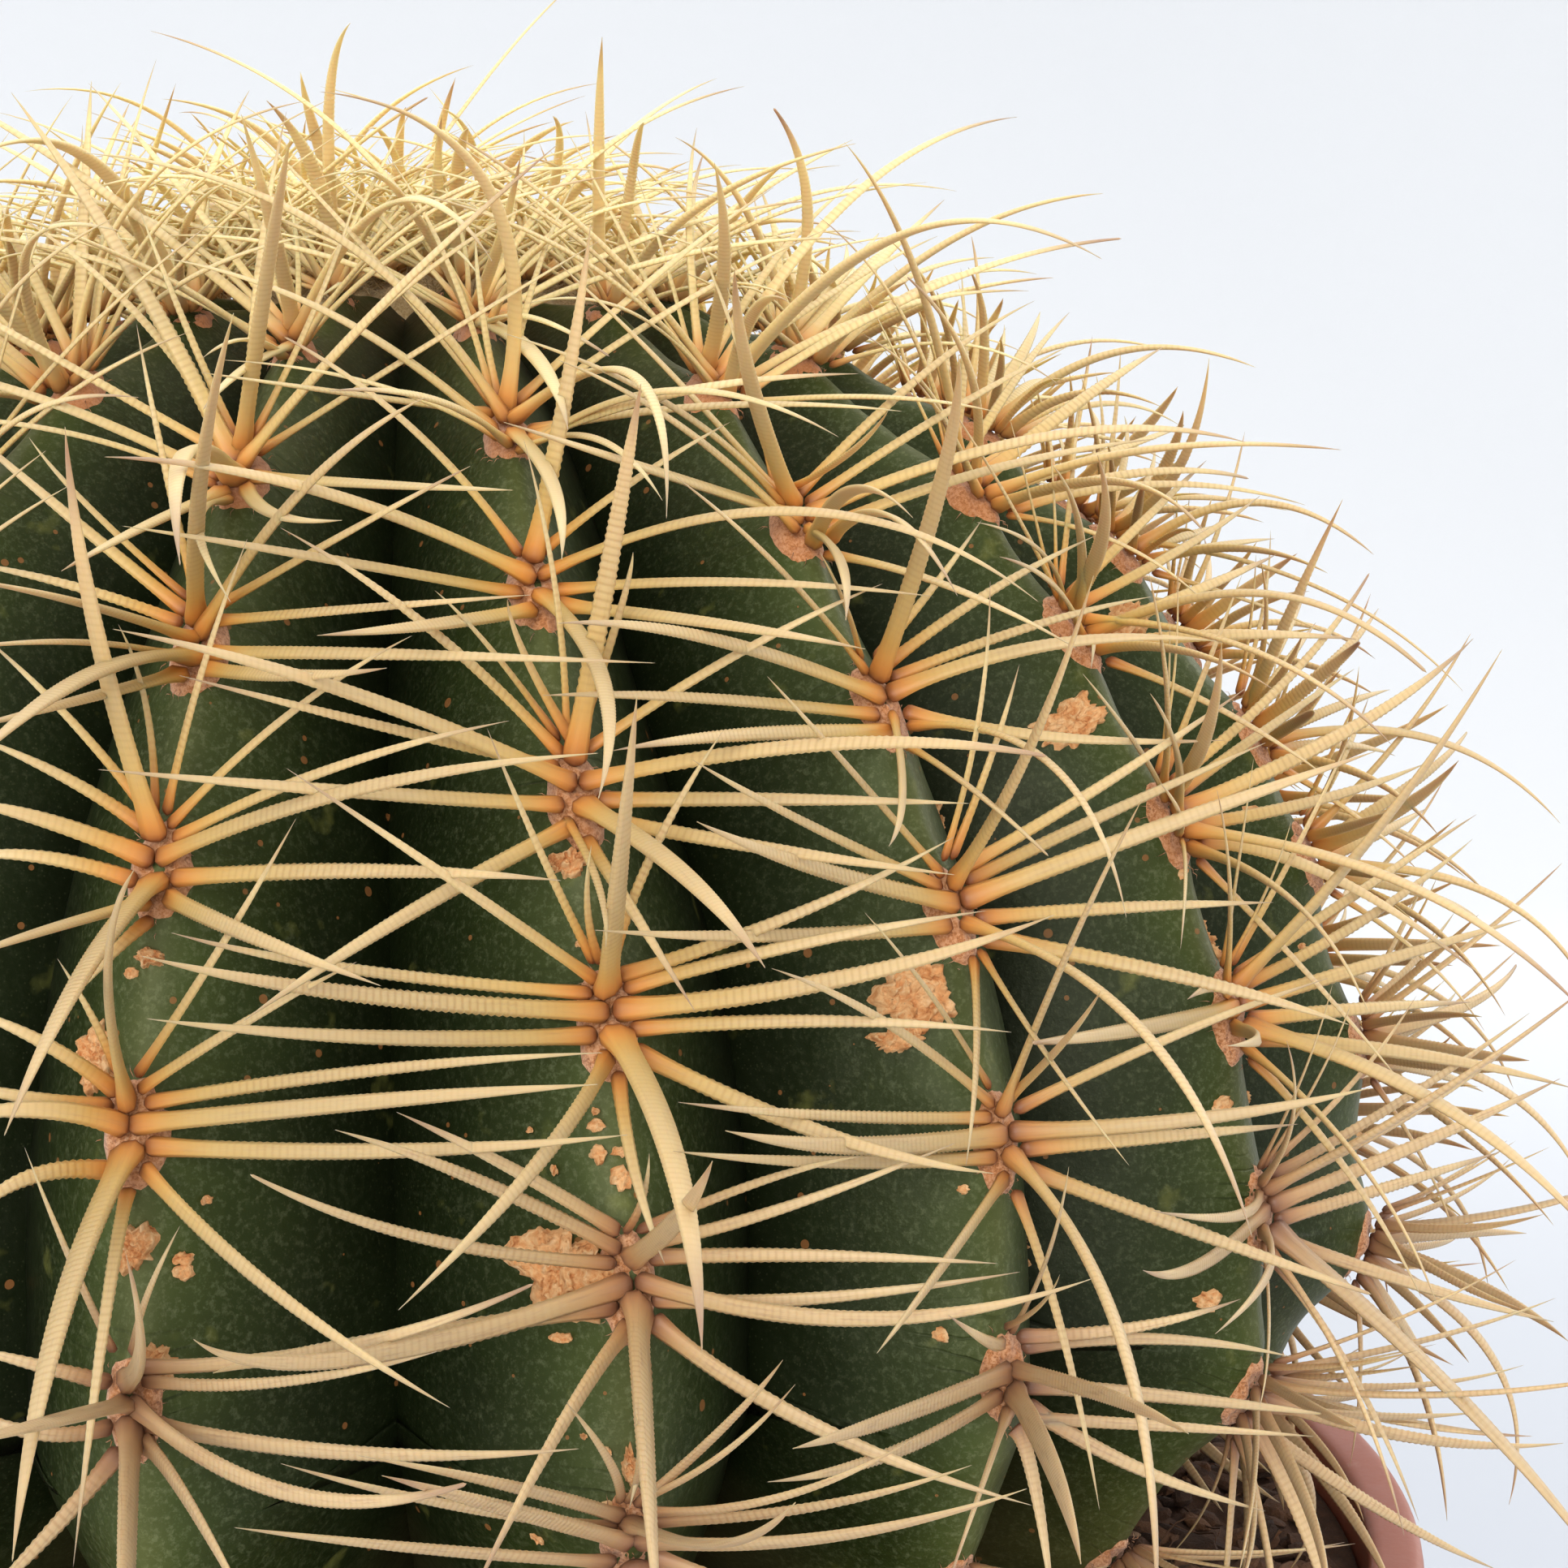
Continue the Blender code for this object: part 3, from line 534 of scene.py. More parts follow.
# Spines read off the photograph, by rib and step: the tip's pixel, for a bent one a pixel at its middle, and a
# width in mm if it is unusual. Tips past the photograph's edge are carried on beyond it. Where most of an areole
# can be read, it has only these.
seenSpines = {
    (0, 3): {"up": (432, 28, 405, 140), "rightUp": (690, -5, 570, 135)},
    (0, 4): {"right": (607, 323, 480, 252), "up": (297, 140, 338, 290), "down": (250, 505, 300, 455, 1.2)},
    (0, 5): {"left": (13, 113, 160, 330), "up": (357, 172, 330, 330, 1.4), "rightUp": (692, 235, 500, 355),
        "rightLow": (633, 604, 470, 597), "downRight": (422, 641, 340, 634), "down": (222, 697, 228, 560),
        "downLeft": (75, 704, 175, 650)},
    (0, 6): {"up": (288, 385, 247, 590, 1.5), "thinUp": (168, 398, 200, 560), "right": (523, 490, 370, 607),
        "rightUp": (580, 574, 430, 655), "rightHigh": (655, 733, 440, 750), "rightLow": (808, 817, 480, 806),
        "downRight": (477, 823, 360, 832), "down": (-45, 950, 110, 832), "downLeft": (-50, 900, 100, 862),
        "leftLow": (-60, 800), "left": (-60, 712, 95, 742), "leftHigh": (-70, 688, 90, 722),
        "upLeft": (-45, 525, 90, 640), "thinUpLeft": (35, 538, 110, 625)},
    (0, 7): {"up": (80, 525, 118, 775, 1.6), "thinUp": (145, 768, 180, 870), "thinUpRight": (305, 663, 245, 840),
        "rightUp": (508, 783, 350, 885), "rightHigh": (628, 888, 400, 950), "right": (738, 928, 430, 975),
        "rightLow": (692, 1085, 450, 1073), "downRight": (470, 1215), "down": (5, 1400, 105, 1195),
        "downLeft": (-60, 1185, 60, 1145), "downLow": (95, 1225), "left": (-60, 985, 60, 1012),
        "leftLow": (-80, 1060), "upLeft": (-45, 903, 80, 958), "thinUpLeft": (-25, 780, 85, 885)},
    (0, 8): {"up": (165, 1072, 133, 1200), "thinUpRight": (365, 1008, 270, 1170), "rightUp": (440, 1185),
        "rightHigh": (743, 1297, 450, 1320), "right": (738, 1336, 450, 1358), "rightLow": (775, 1398, 480, 1418),
        "downRight": (555, 1735, 330, 1585), "down": (15, 1925, 75, 1620, 2.1), "downLow": (90, 1932, 130, 1620),
        "downLeft": (-60, 1530), "left": (-90, 1385), "leftHigh": (-80, 1325), "upLeft": (-70, 1235),
        "thinUpLeft": (70, 1180)},
    (0, 9): {"up": (155, 1545), "thinUpRight": (222, 1510, 180, 1600), "thinUpLeft": (30, 1413, 90, 1560),
        "rightUp": (657, 1582, 420, 1660), "rightHigh": (540, 1665, 340, 1703), "right": (575, 1828, 350, 1838),
        "rightLow": (714, 1785, 430, 1790), "downRight": (330, 2030, 235, 1855), "down": (150, 2150, 155, 1950),
        "downLeft": (-40, 1990, 60, 1890), "left": (-90, 1790), "leftLow": (-80, 1712), "leftHigh": (-60, 1655)},
    (1, 3): {"up": (545, 140, 540, 240)},
    (1, 4): {"up": (642, 190, 615, 300, 1.2), "down": (700, 530, 660, 440)},
    (1, 5): {"up": (393, 113, 603, 235, 1.4), "down": (692, 690, 680, 595, 1.4), "right": (821, 640, 775, 460),
        "leftHigh": (247, 459, 430, 485), "rightLow": (1112, 507, 880, 500)},
    (1, 6): {"up": (728, 275, 697, 485, 1.5), "rightUp": (900, 520), "right": (1280, 742, 985, 630),
        "rightLow": (1150, 735, 900, 717), "downRight": (1067, 800, 880, 768), "down": (737, 985, 741, 835, 1.5),
        "downLeft": (390, 783, 530, 770), "left": (128, 563, 400, 607), "leftLow": (150, 648, 400, 688),
        "upLeft": (350, 415, 510, 530)},
    (1, 7): {"up": (790, 472, 757, 660, 1.5), "thinUp": (645, 540, 685, 730), "thinUpRight": (780, 680, 762, 760),
        "extraUp": (625, 738, 648, 810), "thinUpLeft": (535, 727, 605, 800), "upLeft": (345, 650, 530, 775),
        "left": (138, 775, 430, 853), "leftHigh": (220, 832, 450, 890), "leftLow": (120, 948, 430, 975),
        "downLeft": (300, 1258, 500, 1128, 1.2), "down": (943, 1193, 840, 1075, 1.7),
        "downLow": (857, 1247, 775, 1115), "thinDownLeft": (746, 1168, 737, 1090),
        "downRight": (1177, 1078, 950, 1046), "rightLow": (1195, 990, 960, 985), "right": (1290, 932, 1020, 917),
        "rightUp": (1088, 719, 905, 808)},
    (1, 8): {"up": (785, 855, 763, 1075, 1.85), "upLeft": (352, 946), "thinUpLeft": (600, 897), "thinUp": (729, 1040),
        "thinUpRight": (892, 899), "rightUp": (1176, 1031), "rightHigh": (1216, 1122),
        "right": (1300, 1127, 1040, 1205), "rightLow": (1247, 1272), "downRight": (1225, 1446, 1010, 1395),
        "down": (865, 1665, 830, 1430, 2.2), "downLeft": (490, 1615), "leftLow": (180, 1255, 460, 1278),
        "left": (174, 1178, 440, 1225), "leftHigh": (210, 1149, 440, 1195), "downLow": (820, 1560)},
    (1, 9): {"up": (878, 1430, 835, 1502, 1.5), "thinUp": (800, 1420), "rightUp": (1178, 1408, 960, 1490),
        "thinUpRight": (1060, 1425, 940, 1455), "rightHigh": (1230, 1557, 1000, 1547),
        "right": (1347, 1575, 1060, 1625), "rightLow": (1258, 1567, 1000, 1600),
        "downRight": (1272, 1855, 1000, 1755), "down": (812, 2010, 795, 1780, 2.4),
        "downLeft": (575, 1980, 690, 1760), "downLow": (775, 1860), "left": (238, 1650, 440, 1672),
        "leftLow": (262, 1692, 430, 1658), "leftHigh": (308, 1447, 520, 1525), "upLeft": (412, 1392, 590, 1455),
        "thinUpLeft": (488, 1370, 640, 1445, 1.1)},
    (1, 10): {"extraUp": (965, 1675, 890, 1760), "rightUp": (1130, 1770, 960, 1845),
        "rightHigh": (1198, 1805, 1000, 1857), "right": (1266, 1834, 1010, 1895), "leftHigh": (345, 1803, 560, 1855),
        "left": (470, 1818, 620, 1858), "leftLow": (288, 1882, 520, 1908), "downLeft": (640, 2010)},
    (2, 3): {"up": (742, 45, 738, 180, 1.2)},
    (2, 4): {"up": (880, 200, 892, 330)},
    (2, 5): {"up": (905, 330, 925, 470), "right": (1535, 545, 1290, 538), "left": (620, 520, 800, 578),
        "thinUpRight": (1095, 505), "downRight": (1180, 735), "down": (1042, 765, 1035, 690, 1.4)},
    (2, 6): {"left": (687, 768, 880, 788), "leftLow": (668, 857, 860, 860), "downLeft": (755, 925, 920, 905),
        "downLow": (1292, 1055, 1195, 970), "down": (1095, 1043, 1112, 975, 1.0), "upLeft": (833, 588, 960, 700),
        "up": (1181, 437, 1158, 600, 1.5), "right": (1500, 790, 1290, 795), "rightLow": (1510, 912, 1300, 908),
        "downRight": (1388, 1132, 1290, 938), "rightUp": (1350, 660), "rightHigh": (1420, 735),
        "thinUpLeft": (1010, 680), "thinUpRight": (1210, 640)},
    (2, 7): {"up": (1348, 708, 1265, 930, 1.5), "thinUp": (1220, 715, 1205, 890),
        "thinUpRight": (1256, 818, 1222, 930), "rightUp": (1535, 848, 1370, 960),
        "rightHigh": (1560, 915, 1370, 1000), "right": (1697, 925, 1450, 1012), "rightLow": (1570, 1112, 1390, 1118),
        "downRight": (1663, 1263, 1470, 1207), "down": (1543, 1525, 1400, 1262, 1.6),
        "downLow": (1190, 1437, 1203, 1300), "extraLow": (1392, 1437, 1290, 1300, 0.8),
        "left": (858, 1012, 1000, 1068), "leftHigh": (853, 936, 985, 1010), "upLeft": (945, 833, 1045, 945),
        "leftLow": (732, 1146, 960, 1153)},
    (2, 8): {"up": (1407, 985, 1315, 1175, 1.4), "rightUp": (1357, 1220, 1310, 1285),
        "rightHigh": (1637, 1205, 1450, 1275), "right": (1690, 1340, 1480, 1378),
        "rightLow": (1600, 1385, 1440, 1400), "downRight": (1690, 1595, 1470, 1517), "down": (1425, 1990, 1378, 1640),
        "downLow": (1355, 1862, 1308, 1640), "downLeft": (1080, 1668, 1160, 1562), "leftLow": (828, 1418, 1030, 1432),
        "left": (893, 1393, 1060, 1412), "leftHigh": (835, 1358, 1030, 1375), "upLeft": (950, 1193, 1095, 1262),
        "thinUpLeft": (1065, 1124, 1150, 1230)},
    (2, 9): {"extraUp": (1317, 1437, 1290, 1550), "thinUp": (1306, 1570, 1280, 1610),
        "upLeft": (1168, 1620, 1215, 1652), "rightHigh": (1592, 1672, 1430, 1650),
        "rightUp": (1530, 1600, 1400, 1635), "right": (1465, 1767, 1370, 1722), "rightLow": (1650, 1745, 1450, 1722),
        "downRight": (1560, 1862, 1400, 1808), "down": (1332, 1928, 1298, 1810, 1.7),
        "extraLow": (1620, 1770, 1430, 1757), "downLow": (1300, 2000, 1275, 1830, 1.5),
        "downLeft": (1165, 1960, 1212, 1825), "leftLow": (945, 1826, 1100, 1790), "left": (976, 1785, 1100, 1747)},
    (3, 4): {"up": (953, 133, 995, 260, 1.2)},
    (3, 5): {"up": (1040, 175, 1130, 340, 1.2)},
    (3, 6): {"right": (1715, 918, 1540, 800), "up": (1352, 560)},
    (3, 7): {"downRight": (1826, 1203, 1640, 1080, 1.5), "up": (1505, 790)},
    (3, 8): {"left": (1272, 1285, 1400, 1268), "rightUp": (1820, 1003, 1680, 1095)},
    (3, 9): {"left": (1408, 1565, 1480, 1558), "leftHigh": (1420, 1492)},
    (4, 6): {"up": (1490, 440, 1450, 580, 1.2), "right": (1803, 852, 1620, 722)},
    (4, 7): {"up": (1655, 614, 1585, 765, 1.4)},
}
wellSeen = 9          # entries from which an areole has no other spines
# share of their full length that spines have on the ribs by the photograph's right edge, set to the blur there
shorterRibs = {3: 0.78, 4: 0.61, 5: 0.58, 6: 0.60, 7: 0.67, 8: 0.78, 9: 0.88}
clearSoil = 1.2 * mm
under = {"mixRadius": 100.5 * mm, "mixTop": 160.5 * mm, "lipRadius": 108.5 * mm, "lipTop": 166.2 * mm}
lastShown = soilArc - 3 * mm      # areoles below this are in the mix


def clearOf(points):
    # lowest gap above the mix and the pot's lip
    r = np.hypot(points[:, 0], points[:, 1])
    floor = np.where(r < under["mixRadius"], under["mixTop"], np.where(r < under["lipRadius"], under["lipTop"], -1.0))
    return float(np.min(points[:, 2] - floor))


def curve(root, tip, bow, hook, t):
    t = t[:, None]
    return root + (tip - root) * t + bow * 4.0 * t * (1.0 - t) * (1.0 + hook * (2.0 * t - 1.0))


def growSpines(rib, arc, youth, rng, seen, innermost=False):
    angle = ribAngle(rib, arc)
    point, normal, down, side = bodyFrame(np.array(arc), np.array(angle))
    felt = point + normal * (plant["swelling"] + 0.5 * mm)
    age = 0.2 * float(ease(arc, 35 * mm, 126 * mm)) + 0.8 * float(ease(arc, 127 * mm, 147 * mm))
    look = spineLook
    lowShare = 1.0 - (1.0 - look["lowest"]) * float(ease(arc, soilArc - 45 * mm, soilArc - 5 * mm))
    upShare = 0.50 + 0.50 * float(ease(arc, 12 * mm, 90 * mm))
    grownUp = 0.78 + 0.22 * float(ease(arc, 12 * mm, 62 * mm))
    bent = 1.0 + 0.9 * (1.0 - float(ease(arc, 45 * mm, 105 * mm)))
    fresh = 1.0 - float(ease(arc, 25 * mm, 105 * mm))
    out = []
    for name, (x, y, width, length, turnDeg, riseDeg, arch, often) in spineKinds.items():
        drawn = [rng.random() for _ in range(9)]
        spotted = seen.get(name)
        if not spotted and (len(seen) >= wellSeen or drawn[0] > often + 0.9 * fresh):
            continue
        if innermost and drawn[0] > 0.9:
            continue
        spread = 1.0 - 0.45 * youth
        root = felt + side * x * mm * spread + down * y * mm * spread - normal * look["sunk"]
        tall = drawn[2] > (0.90 if name == "up" else 0.98)
        t = math.radians(turnDeg + (drawn[1] - 0.5) * look["turnDrawn"] * (1.0 + youth))
        leaning = look["crownLean"].get(name, look["otherLean"]) * youth
        e = math.radians(riseDeg + (drawn[2] - 0.5) * look["riseDrawn"] * (1.0 + youth) - leaning)
        share = 0.95 if tall else upShare if name == "up" else grownUp
        if name == "down" and not tall:
            share = grownUp * (0.8 + 0.2 * (1.0 - youth))
        reach = length * mm * (1.0 + (drawn[3] - 0.5) * look["lengthDrawn"]) * share * lowShare
        if rib in shorterRibs:
            reach *= shorterRibs[rib] + 0.12 * float(ease(arc, 90 * mm, 130 * mm))
        direction = math.cos(e) * (math.cos(t) * down + math.sin(t) * side) + math.sin(e) * normal
        lift = unit(normal - direction * float(normal @ direction))
        bow = lift * arch * (1.0 if name in ("up", "down") else bent) * reach * (0.4 + 1.4 * drawn[4])
        bow = bow + np.cross(direction, lift) * reach * (drawn[5] - 0.5) * 0.08 * bent
        tip = root + direction * reach
        hook = 0.35 * (drawn[6] - 0.3)
        if spotted:
            # the tip lies on its pixel's line of sight, where its length and rise come nearest to its kind
            ray = sightLine(*spotted[:2])
            tries = eye + ray * np.linspace(0.05, 0.30, 1251)[:, None]
            gap = tries - root
            size = np.linalg.norm(gap, axis=1)
            rise = np.degrees(np.arcsin(np.clip((gap @ normal) / size, -1, 1)))
            cost = ((rise - riseDeg) / 9.0) ** 2 + ((size / mm - length) / 5.0) ** 2
            tip = tries[int(np.argmin(cost))]
            if len(spotted) > 2:
                middle = (root + tip) / 2
                ray = sightLine(*spotted[2:4])
                bow = eye + ray * float(ray @ (middle - eye)) - middle
                hook = 0.0
        sample = np.linspace(0, 1, 12)
        for _ in range(6):
            gap = clearOf(curve(root, tip, bow, hook, sample)[3:])
            if gap > clearSoil:
                break
            tip = tip + np.array([0, 0, 1.0]) * (clearSoil - gap + 0.5 * mm)
        if gap < 0:
            continue
        wide = width * mm * (1.0 + (drawn[7] - 0.5) * look["widthDrawn"]) * (1.0 - 0.22 * youth)
        if spotted and len(spotted) > 4:
            wide = spotted[4] * mm
        out.append(SimpleNamespace(
            root=root, tip=tip, bow=bow, hook=hook, width=wide, hint=normal + down * 0.35 * math.cos(t),
            age=age - fresh, tone=drawn[8], blunt=drawn[6] > 0.93, sides=8 if width > 1.5 else 6))
    return out


def spineMesh(name, spines, fine, material):
    look = spineLook
    margin, inset = look["cellMargin"], look["endMargin"]
    points, quads, triangles, quadUv, triUv, lines, lives = [], [], [], [], [], [], []
    start = 0
    strip = 1.0 / len(spines)
    for index, one in enumerate(spines):
        straight = one.tip - one.root
        bending = 2.2 * float(np.dot(one.bow, one.bow)) / float(np.dot(straight, straight))
        length = float(np.linalg.norm(straight)) * (1.0 + bending)
        pitch = look["ringPitch"] / 2.0 if fine else look["coarsePitch"]
        count = max(6, int(length / pitch))
        sides = one.sides
        t = np.arange(count) / count
        if not fine:
            rooted = np.array([0.0, 0.35, 1.0]) * mm / length
            t = np.concatenate([rooted, np.linspace(2 * mm / length, 1.0, count - 3, endpoint=False)])
        reach = t * length
        centre = curve(one.root, one.tip, one.bow, one.hook, t)
        along = unit(np.gradient(centre, axis=0))
        level = np.cross(straight, one.hint)
        wide = unit(level - along * (along @ level)[:, None])
        thick = np.cross(wide, along)
        end = look["bluntEnd"] if one.blunt else 1.0
        dome = 1.0 - (1.0 - reach / look["domeReach"]) ** 2 * (reach < look["domeReach"])
        dome = np.sqrt(np.clip(dome, 0.10, 1.0))
        foot = (0.34 if one.width > 1.3 * mm else 0.24) * np.exp(-(reach / look["footReach"]) ** 2)
        taper = (np.clip(1.0 - (t * end) ** look["taper"], 0.0, 1.0) + foot) * dome
        taper = np.maximum(taper, 0.05)
        if fine:
            envelope = ease(t, 0.05, 0.20) * (1.0 - ease(t, 0.62, 0.92))
            everyOther = np.where(np.arange(count) % 2 == 0, 1.0, -1.0)
            ringed = 1.0 + look["ringRelief"] * (0.6 + 0.9 * (one.tone * 7.3 % 1.0)) * envelope * everyOther
        else:
            ringed = np.ones(count)
        phi = fullTurn * np.arange(sides) / sides
        halfWidth = one.width / 2.0 * taper * ringed
        # a strap with full edges: thicker at the root, thinnest along the middle, rounder again at the tip
        thin = look["flatness"] + 0.34 * np.exp(-reach / look["thickReach"]) + 0.25 * ease(t, 0.75, 1.0)
        boxX = np.sign(np.cos(phi)) * np.abs(np.cos(phi)) ** 0.72
        boxY = np.sign(np.sin(phi)) * np.abs(np.sin(phi)) ** 0.85
        rings = (centre[:, None, :] + wide[:, None, :] * (halfWidth[:, None] * boxX)[..., None]
                 + thick[:, None, :] * ((halfWidth / ringed * thin)[:, None] * boxY)[..., None])
        points.append(rings.reshape(-1, 3))
        points.append(np.stack([one.root, one.tip]))
        a, b = np.meshgrid(np.arange(count - 1), np.arange(sides), indexing="ij")
        quads.append(start + ringQuads(count, sides))

        def stripAt(b):
            return (index + margin + 0.88 * b / sides) * strip

        def heightAt(a):
            return inset + 0.98 * a / count

        corner = [np.stack([stripAt(b + db), heightAt(a + da)], -1) for da, db in ((0, 0), (1, 0), (1, 1), (0, 1))]
        quadUv.append(np.stack(corner, axis=2).reshape(-1, 2))
        middle = start + count * sides
        triangles.append(capTriangles(middle, start, sides))
        triangles.append(capTriangles(middle + 1, start + (count - 1) * sides, sides, inward=True))
        left, right, half = [stripAt(np.arange(sides) + d) for d in (0.0, 1.0, 0.5)]
        triUv.append(capUvs(half, left, right, 0.0, inset))
        triUv.append(capUvs(half, right, left, 1.0, heightAt(count - 1)))
        lineRows = np.stack([np.tile(np.cos(phi), count), np.tile(np.sin(phi), count), np.repeat(reach, sides)], -1)
        lines.append(np.concatenate([lineRows, [[0, 0, 0.0], [0, 0, length]]]))
        alongRows = np.concatenate([np.repeat(t, sides), [0.0, 1.0]])
        lives.append(np.stack([alongRows, np.full(len(alongRows), one.age), np.full(len(alongRows), one.tone)], -1))
        start += count * sides + 2
    mesh = [np.concatenate(rows) for rows in (points, quads, triangles)]
    makePiece(name, *mesh, material, "cactus", cornerUv=np.concatenate(quadUv + triUv),
              facts={"spineLine": np.concatenate(lines), "spineLife": np.concatenate(lives)})


# Cactus spines: dry, horny tissue that grew ring by ring. Amber and smooth at the root,
# cream with fine cross rings along the middle, and grey brown and split at the weathered tip.
def hornySpine():
    material, add, surface = newMaterial("hornySpine", Roughness=0.50, IOR=1.54, **{
        "Specular IOR Level": 0.42, "Subsurface Weight": 0.5, "Subsurface Radius": (1.0, 0.60, 0.28),
        "Subsurface Scale": 0.9 * mm})
    line = add("SeparateXYZ", {0: add("Attribute", {"attribute_name": "spineLine"}).outputs["Vector"]})
    life = add("SeparateXYZ", {0: add("Attribute", {"attribute_name": "spineLife"}).outputs["Vector"]})
    reach, along, age, tone = line.outputs[2], life.outputs[0], life.outputs[1], life.outputs[2]
    # the first 14 mm above the root: brown where it leaves the felt, then amber, then honey
    rootShare = add("MapRange", {"range": (0.0, 14 * mm, 0.0, 1.0), 0: reach})
    young = add("ValToRGB", {
        "ramp": [
            (0.0, "#7e4820"), (0.035, "#96592a"), (0.065, "#b87732"), (0.11, "#cc8a3c"), (0.17, "#ce9648"),
            (0.26, "#c99e52"), (0.38, "#c8a762"), (0.58, "#c6a96b"), (1.0, "#c4aa76")],
        "Fac": rootShare})
    old = add("ValToRGB", {
        "ramp": [
            (0.0, "#684534"), (0.045, "#80583f"), (0.10, "#a07654"), (0.20, "#b48f66"), (0.40, "#bfa178"),
            (0.70, "#c4a77d"), (1.0, "#c5aa81")],
        "Fac": rootShare})
    rooted = add("Mix", {"data_type": "RGBA", 0: age, 6: young, 7: old})
    # the rest pales to cream
    paleShare = add("MapRange", {"range": (0.25, 0.75, 0.0, 0.60), 0: along})
    paled = add("Mix", {"data_type": "RGBA", 7: linear("#ccb389"), 0: paleShare, 6: rooted})
    # spines of the crown are this year's and brighter yellow, partly their own paler colour and partly a painted glow
    # of light shining through them, and all brown over the last tenth
    newShare = add("MapRange", {"range": (-1.0, 0.0, 0.85, 0.0), 0: age})
    newPlace = add("Math", {
        "operation": "MULTIPLY", 0: newShare,
        1: add("MapRange", {"range": (0.05, 0.25, 0.12, 1.0), 0: rootShare})})
    # the pale yellow mixed in here is partly painted glow of light through the young spines
    newerWithPaintedGlow = add("Mix", {"data_type": "RGBA", 7: linear("#f2dca4"), 0: newPlace, 6: paled})
    tipNoise = add("MapRange", {"range": (0.0, 1.0, -0.10, 0.08), 0: tone})
    tipPlace = add("Math", {"operation": "ADD", 0: along, 1: tipNoise})
    tipShare = add("MapRange", {"range": (0.80, 1.02, 0.0, 0.85), 0: tipPlace})
    aged = add("Mix", {"data_type": "RGBA", 7: linear("#84695a"), 0: tipShare, 6: newerWithPaintedGlow})
    # weathered grey streaks run lengthways, about 0.15 mm wide
    stretched = add("CombineXYZ", {
        0: add("Math", {
            "operation": "MULTIPLY_ADD", 1: 3.2, 0: line.outputs[0],
            2: add("Math", {"operation": "MULTIPLY", 1: 37.0, 0: tone})}),
        1: add("Math", {"operation": "MULTIPLY", 1: 3.2, 0: line.outputs[1]}),
        2: add("Math", {"operation": "MULTIPLY", 1: 1 / (4.0 * mm), 0: reach})})
    streak = add("TexNoise", {"Scale": 1.0, "Detail": 5.0, "Roughness": 0.65, "Vector": stretched})
    streakShare = add("MapRange", {"range": (0.52, 0.75, 0.0, 1.0), 0: streak})
    worn = add("Math", {"operation": "MULTIPLY_ADD", 1: 0.44, 2: 0.15, "use_clamp": True, 0: age})
    greyShare = add("Math", {"operation": "MULTIPLY", 0: streakShare, 1: worn})
    greyed = add("Mix", {"data_type": "RGBA", 7: linear("#8f6d54"), 0: greyShare, 6: aged})
    toned = add("HueSaturation", {
        "Color": greyed, "Value": add("MapRange", {"range": (0.0, 1.0, 0.90, 1.10), 0: tone})})
    # growth rings: narrow grooves, clearest along the middle and on some spines more than others
    ringPlace = add("Math", {
        "operation": "FRACT",
        0: add("Math", {"operation": "MULTIPLY", 1: 1.0 / spineLook["ringPitch"], 0: reach})})
    ringAway = add("Math", {"operation": "PINGPONG", 1: 0.5, 0: ringPlace})
    groove = add("MapRange", {
        "range": (0.0, 0.34, 1.0, 0.0), "interpolation_type": "SMOOTHSTEP", 0: ringAway})
    ringFade = add("ValToRGB", {
        "ramp": [
            (0.0, "#000000"), (0.08, "#1c1c1c"), (0.25, "#ffffff"), (0.60, "#ffffff"), (0.92, "#000000")],
        "Fac": along})
    ringOwn = add("MapRange", {
        "range": (0.0, 1.0, 0.35, 1.0),
        0: add("Math", {"operation": "FRACT", 0: add("Math", {"operation": "MULTIPLY", 1: 7.3, 0: tone})})})
    ringFaded = add("Math", {"operation": "MULTIPLY", 0: ringFade, 1: ringOwn})
    ringStrength = add("Math", {"operation": "MULTIPLY", 0: groove, 1: ringFaded})
    ringShare = add("Math", {"operation": "MULTIPLY", 1: 0.30, 0: ringStrength})
    ringed = add("Mix", {
        "data_type": "RGBA", "blend_type": "MULTIPLY", 7: linear("#b89556"), 0: ringShare, 6: toned})
    fill(surface, {"Base Color": ringed})
    ringBump = add("Bump", {"Strength": 0.6, "Distance": 0.03 * mm, "invert": True, "Height": ringStrength})
    fibreBump = add("Bump", {"Strength": 0.4, "Distance": 0.06 * mm, "Height": streak, "Normal": ringBump})
    fill(surface, {"Normal": fibreBump})
    return material


spineMaterial = hornySpine()
fineRibs = (17, 0, 1, 2, 3, 4)
for rib in range(ribs):
    grown = []
    for step in steps:
        rng = random.Random(spineLook["seed"] + rib * 101 + step)
        arc = areoleArcs[(rib, step)]
        if arc < lastShown:
            youth = float(1.0 - ease(arc, 22 * mm, 62 * mm))
            grown += growSpines(rib, arc, youth, rng, seenSpines.get((rib, step), {}))
    spineMesh("spines_rib_%02d" % (rib + 1), grown, rib in fineRibs, spineMaterial)

youngest = []
for rib in range(ribs):
    for step in (1, 2):
        rng = random.Random(spineLook["seed"] + 7000 + rib * 101 + step)
        youngest += growSpines(rib, areoleArc(step + ribShift(rib)), 1.0, rng, {}, innermost=True)
spineMesh("spines_crown", youngest, False, spineMaterial)
print("spines grown")


# Felt of the areoles

felt = {
    "halfWidth": 2.50 * mm,
    "halfLength": 4.50 * mm,
    "lower": 1.15 * mm,           # its middle, below the spot where the two widest spines meet
    "rise": 1.00 * mm,
    "edgeDepth": 0.5 * mm,
    "rings": 12,
    "segments": 40,
    "hairs": 18,
    "hairWidth": 0.09 * mm,
    "roundness": 2.1,             # 2 would be an ellipse
    "youngSmaller": 0.42,         # near the crown
    "oldSmaller": 0.12,           # near the mix
    "ragged": 0.16,               # of its size
    "dent": 0.50 * mm,            # depth round the foot of each spine
    "clumpSize": 0.6 * mm,
    "clumpRise": 0.26 * mm,
    "seed": 900,
}
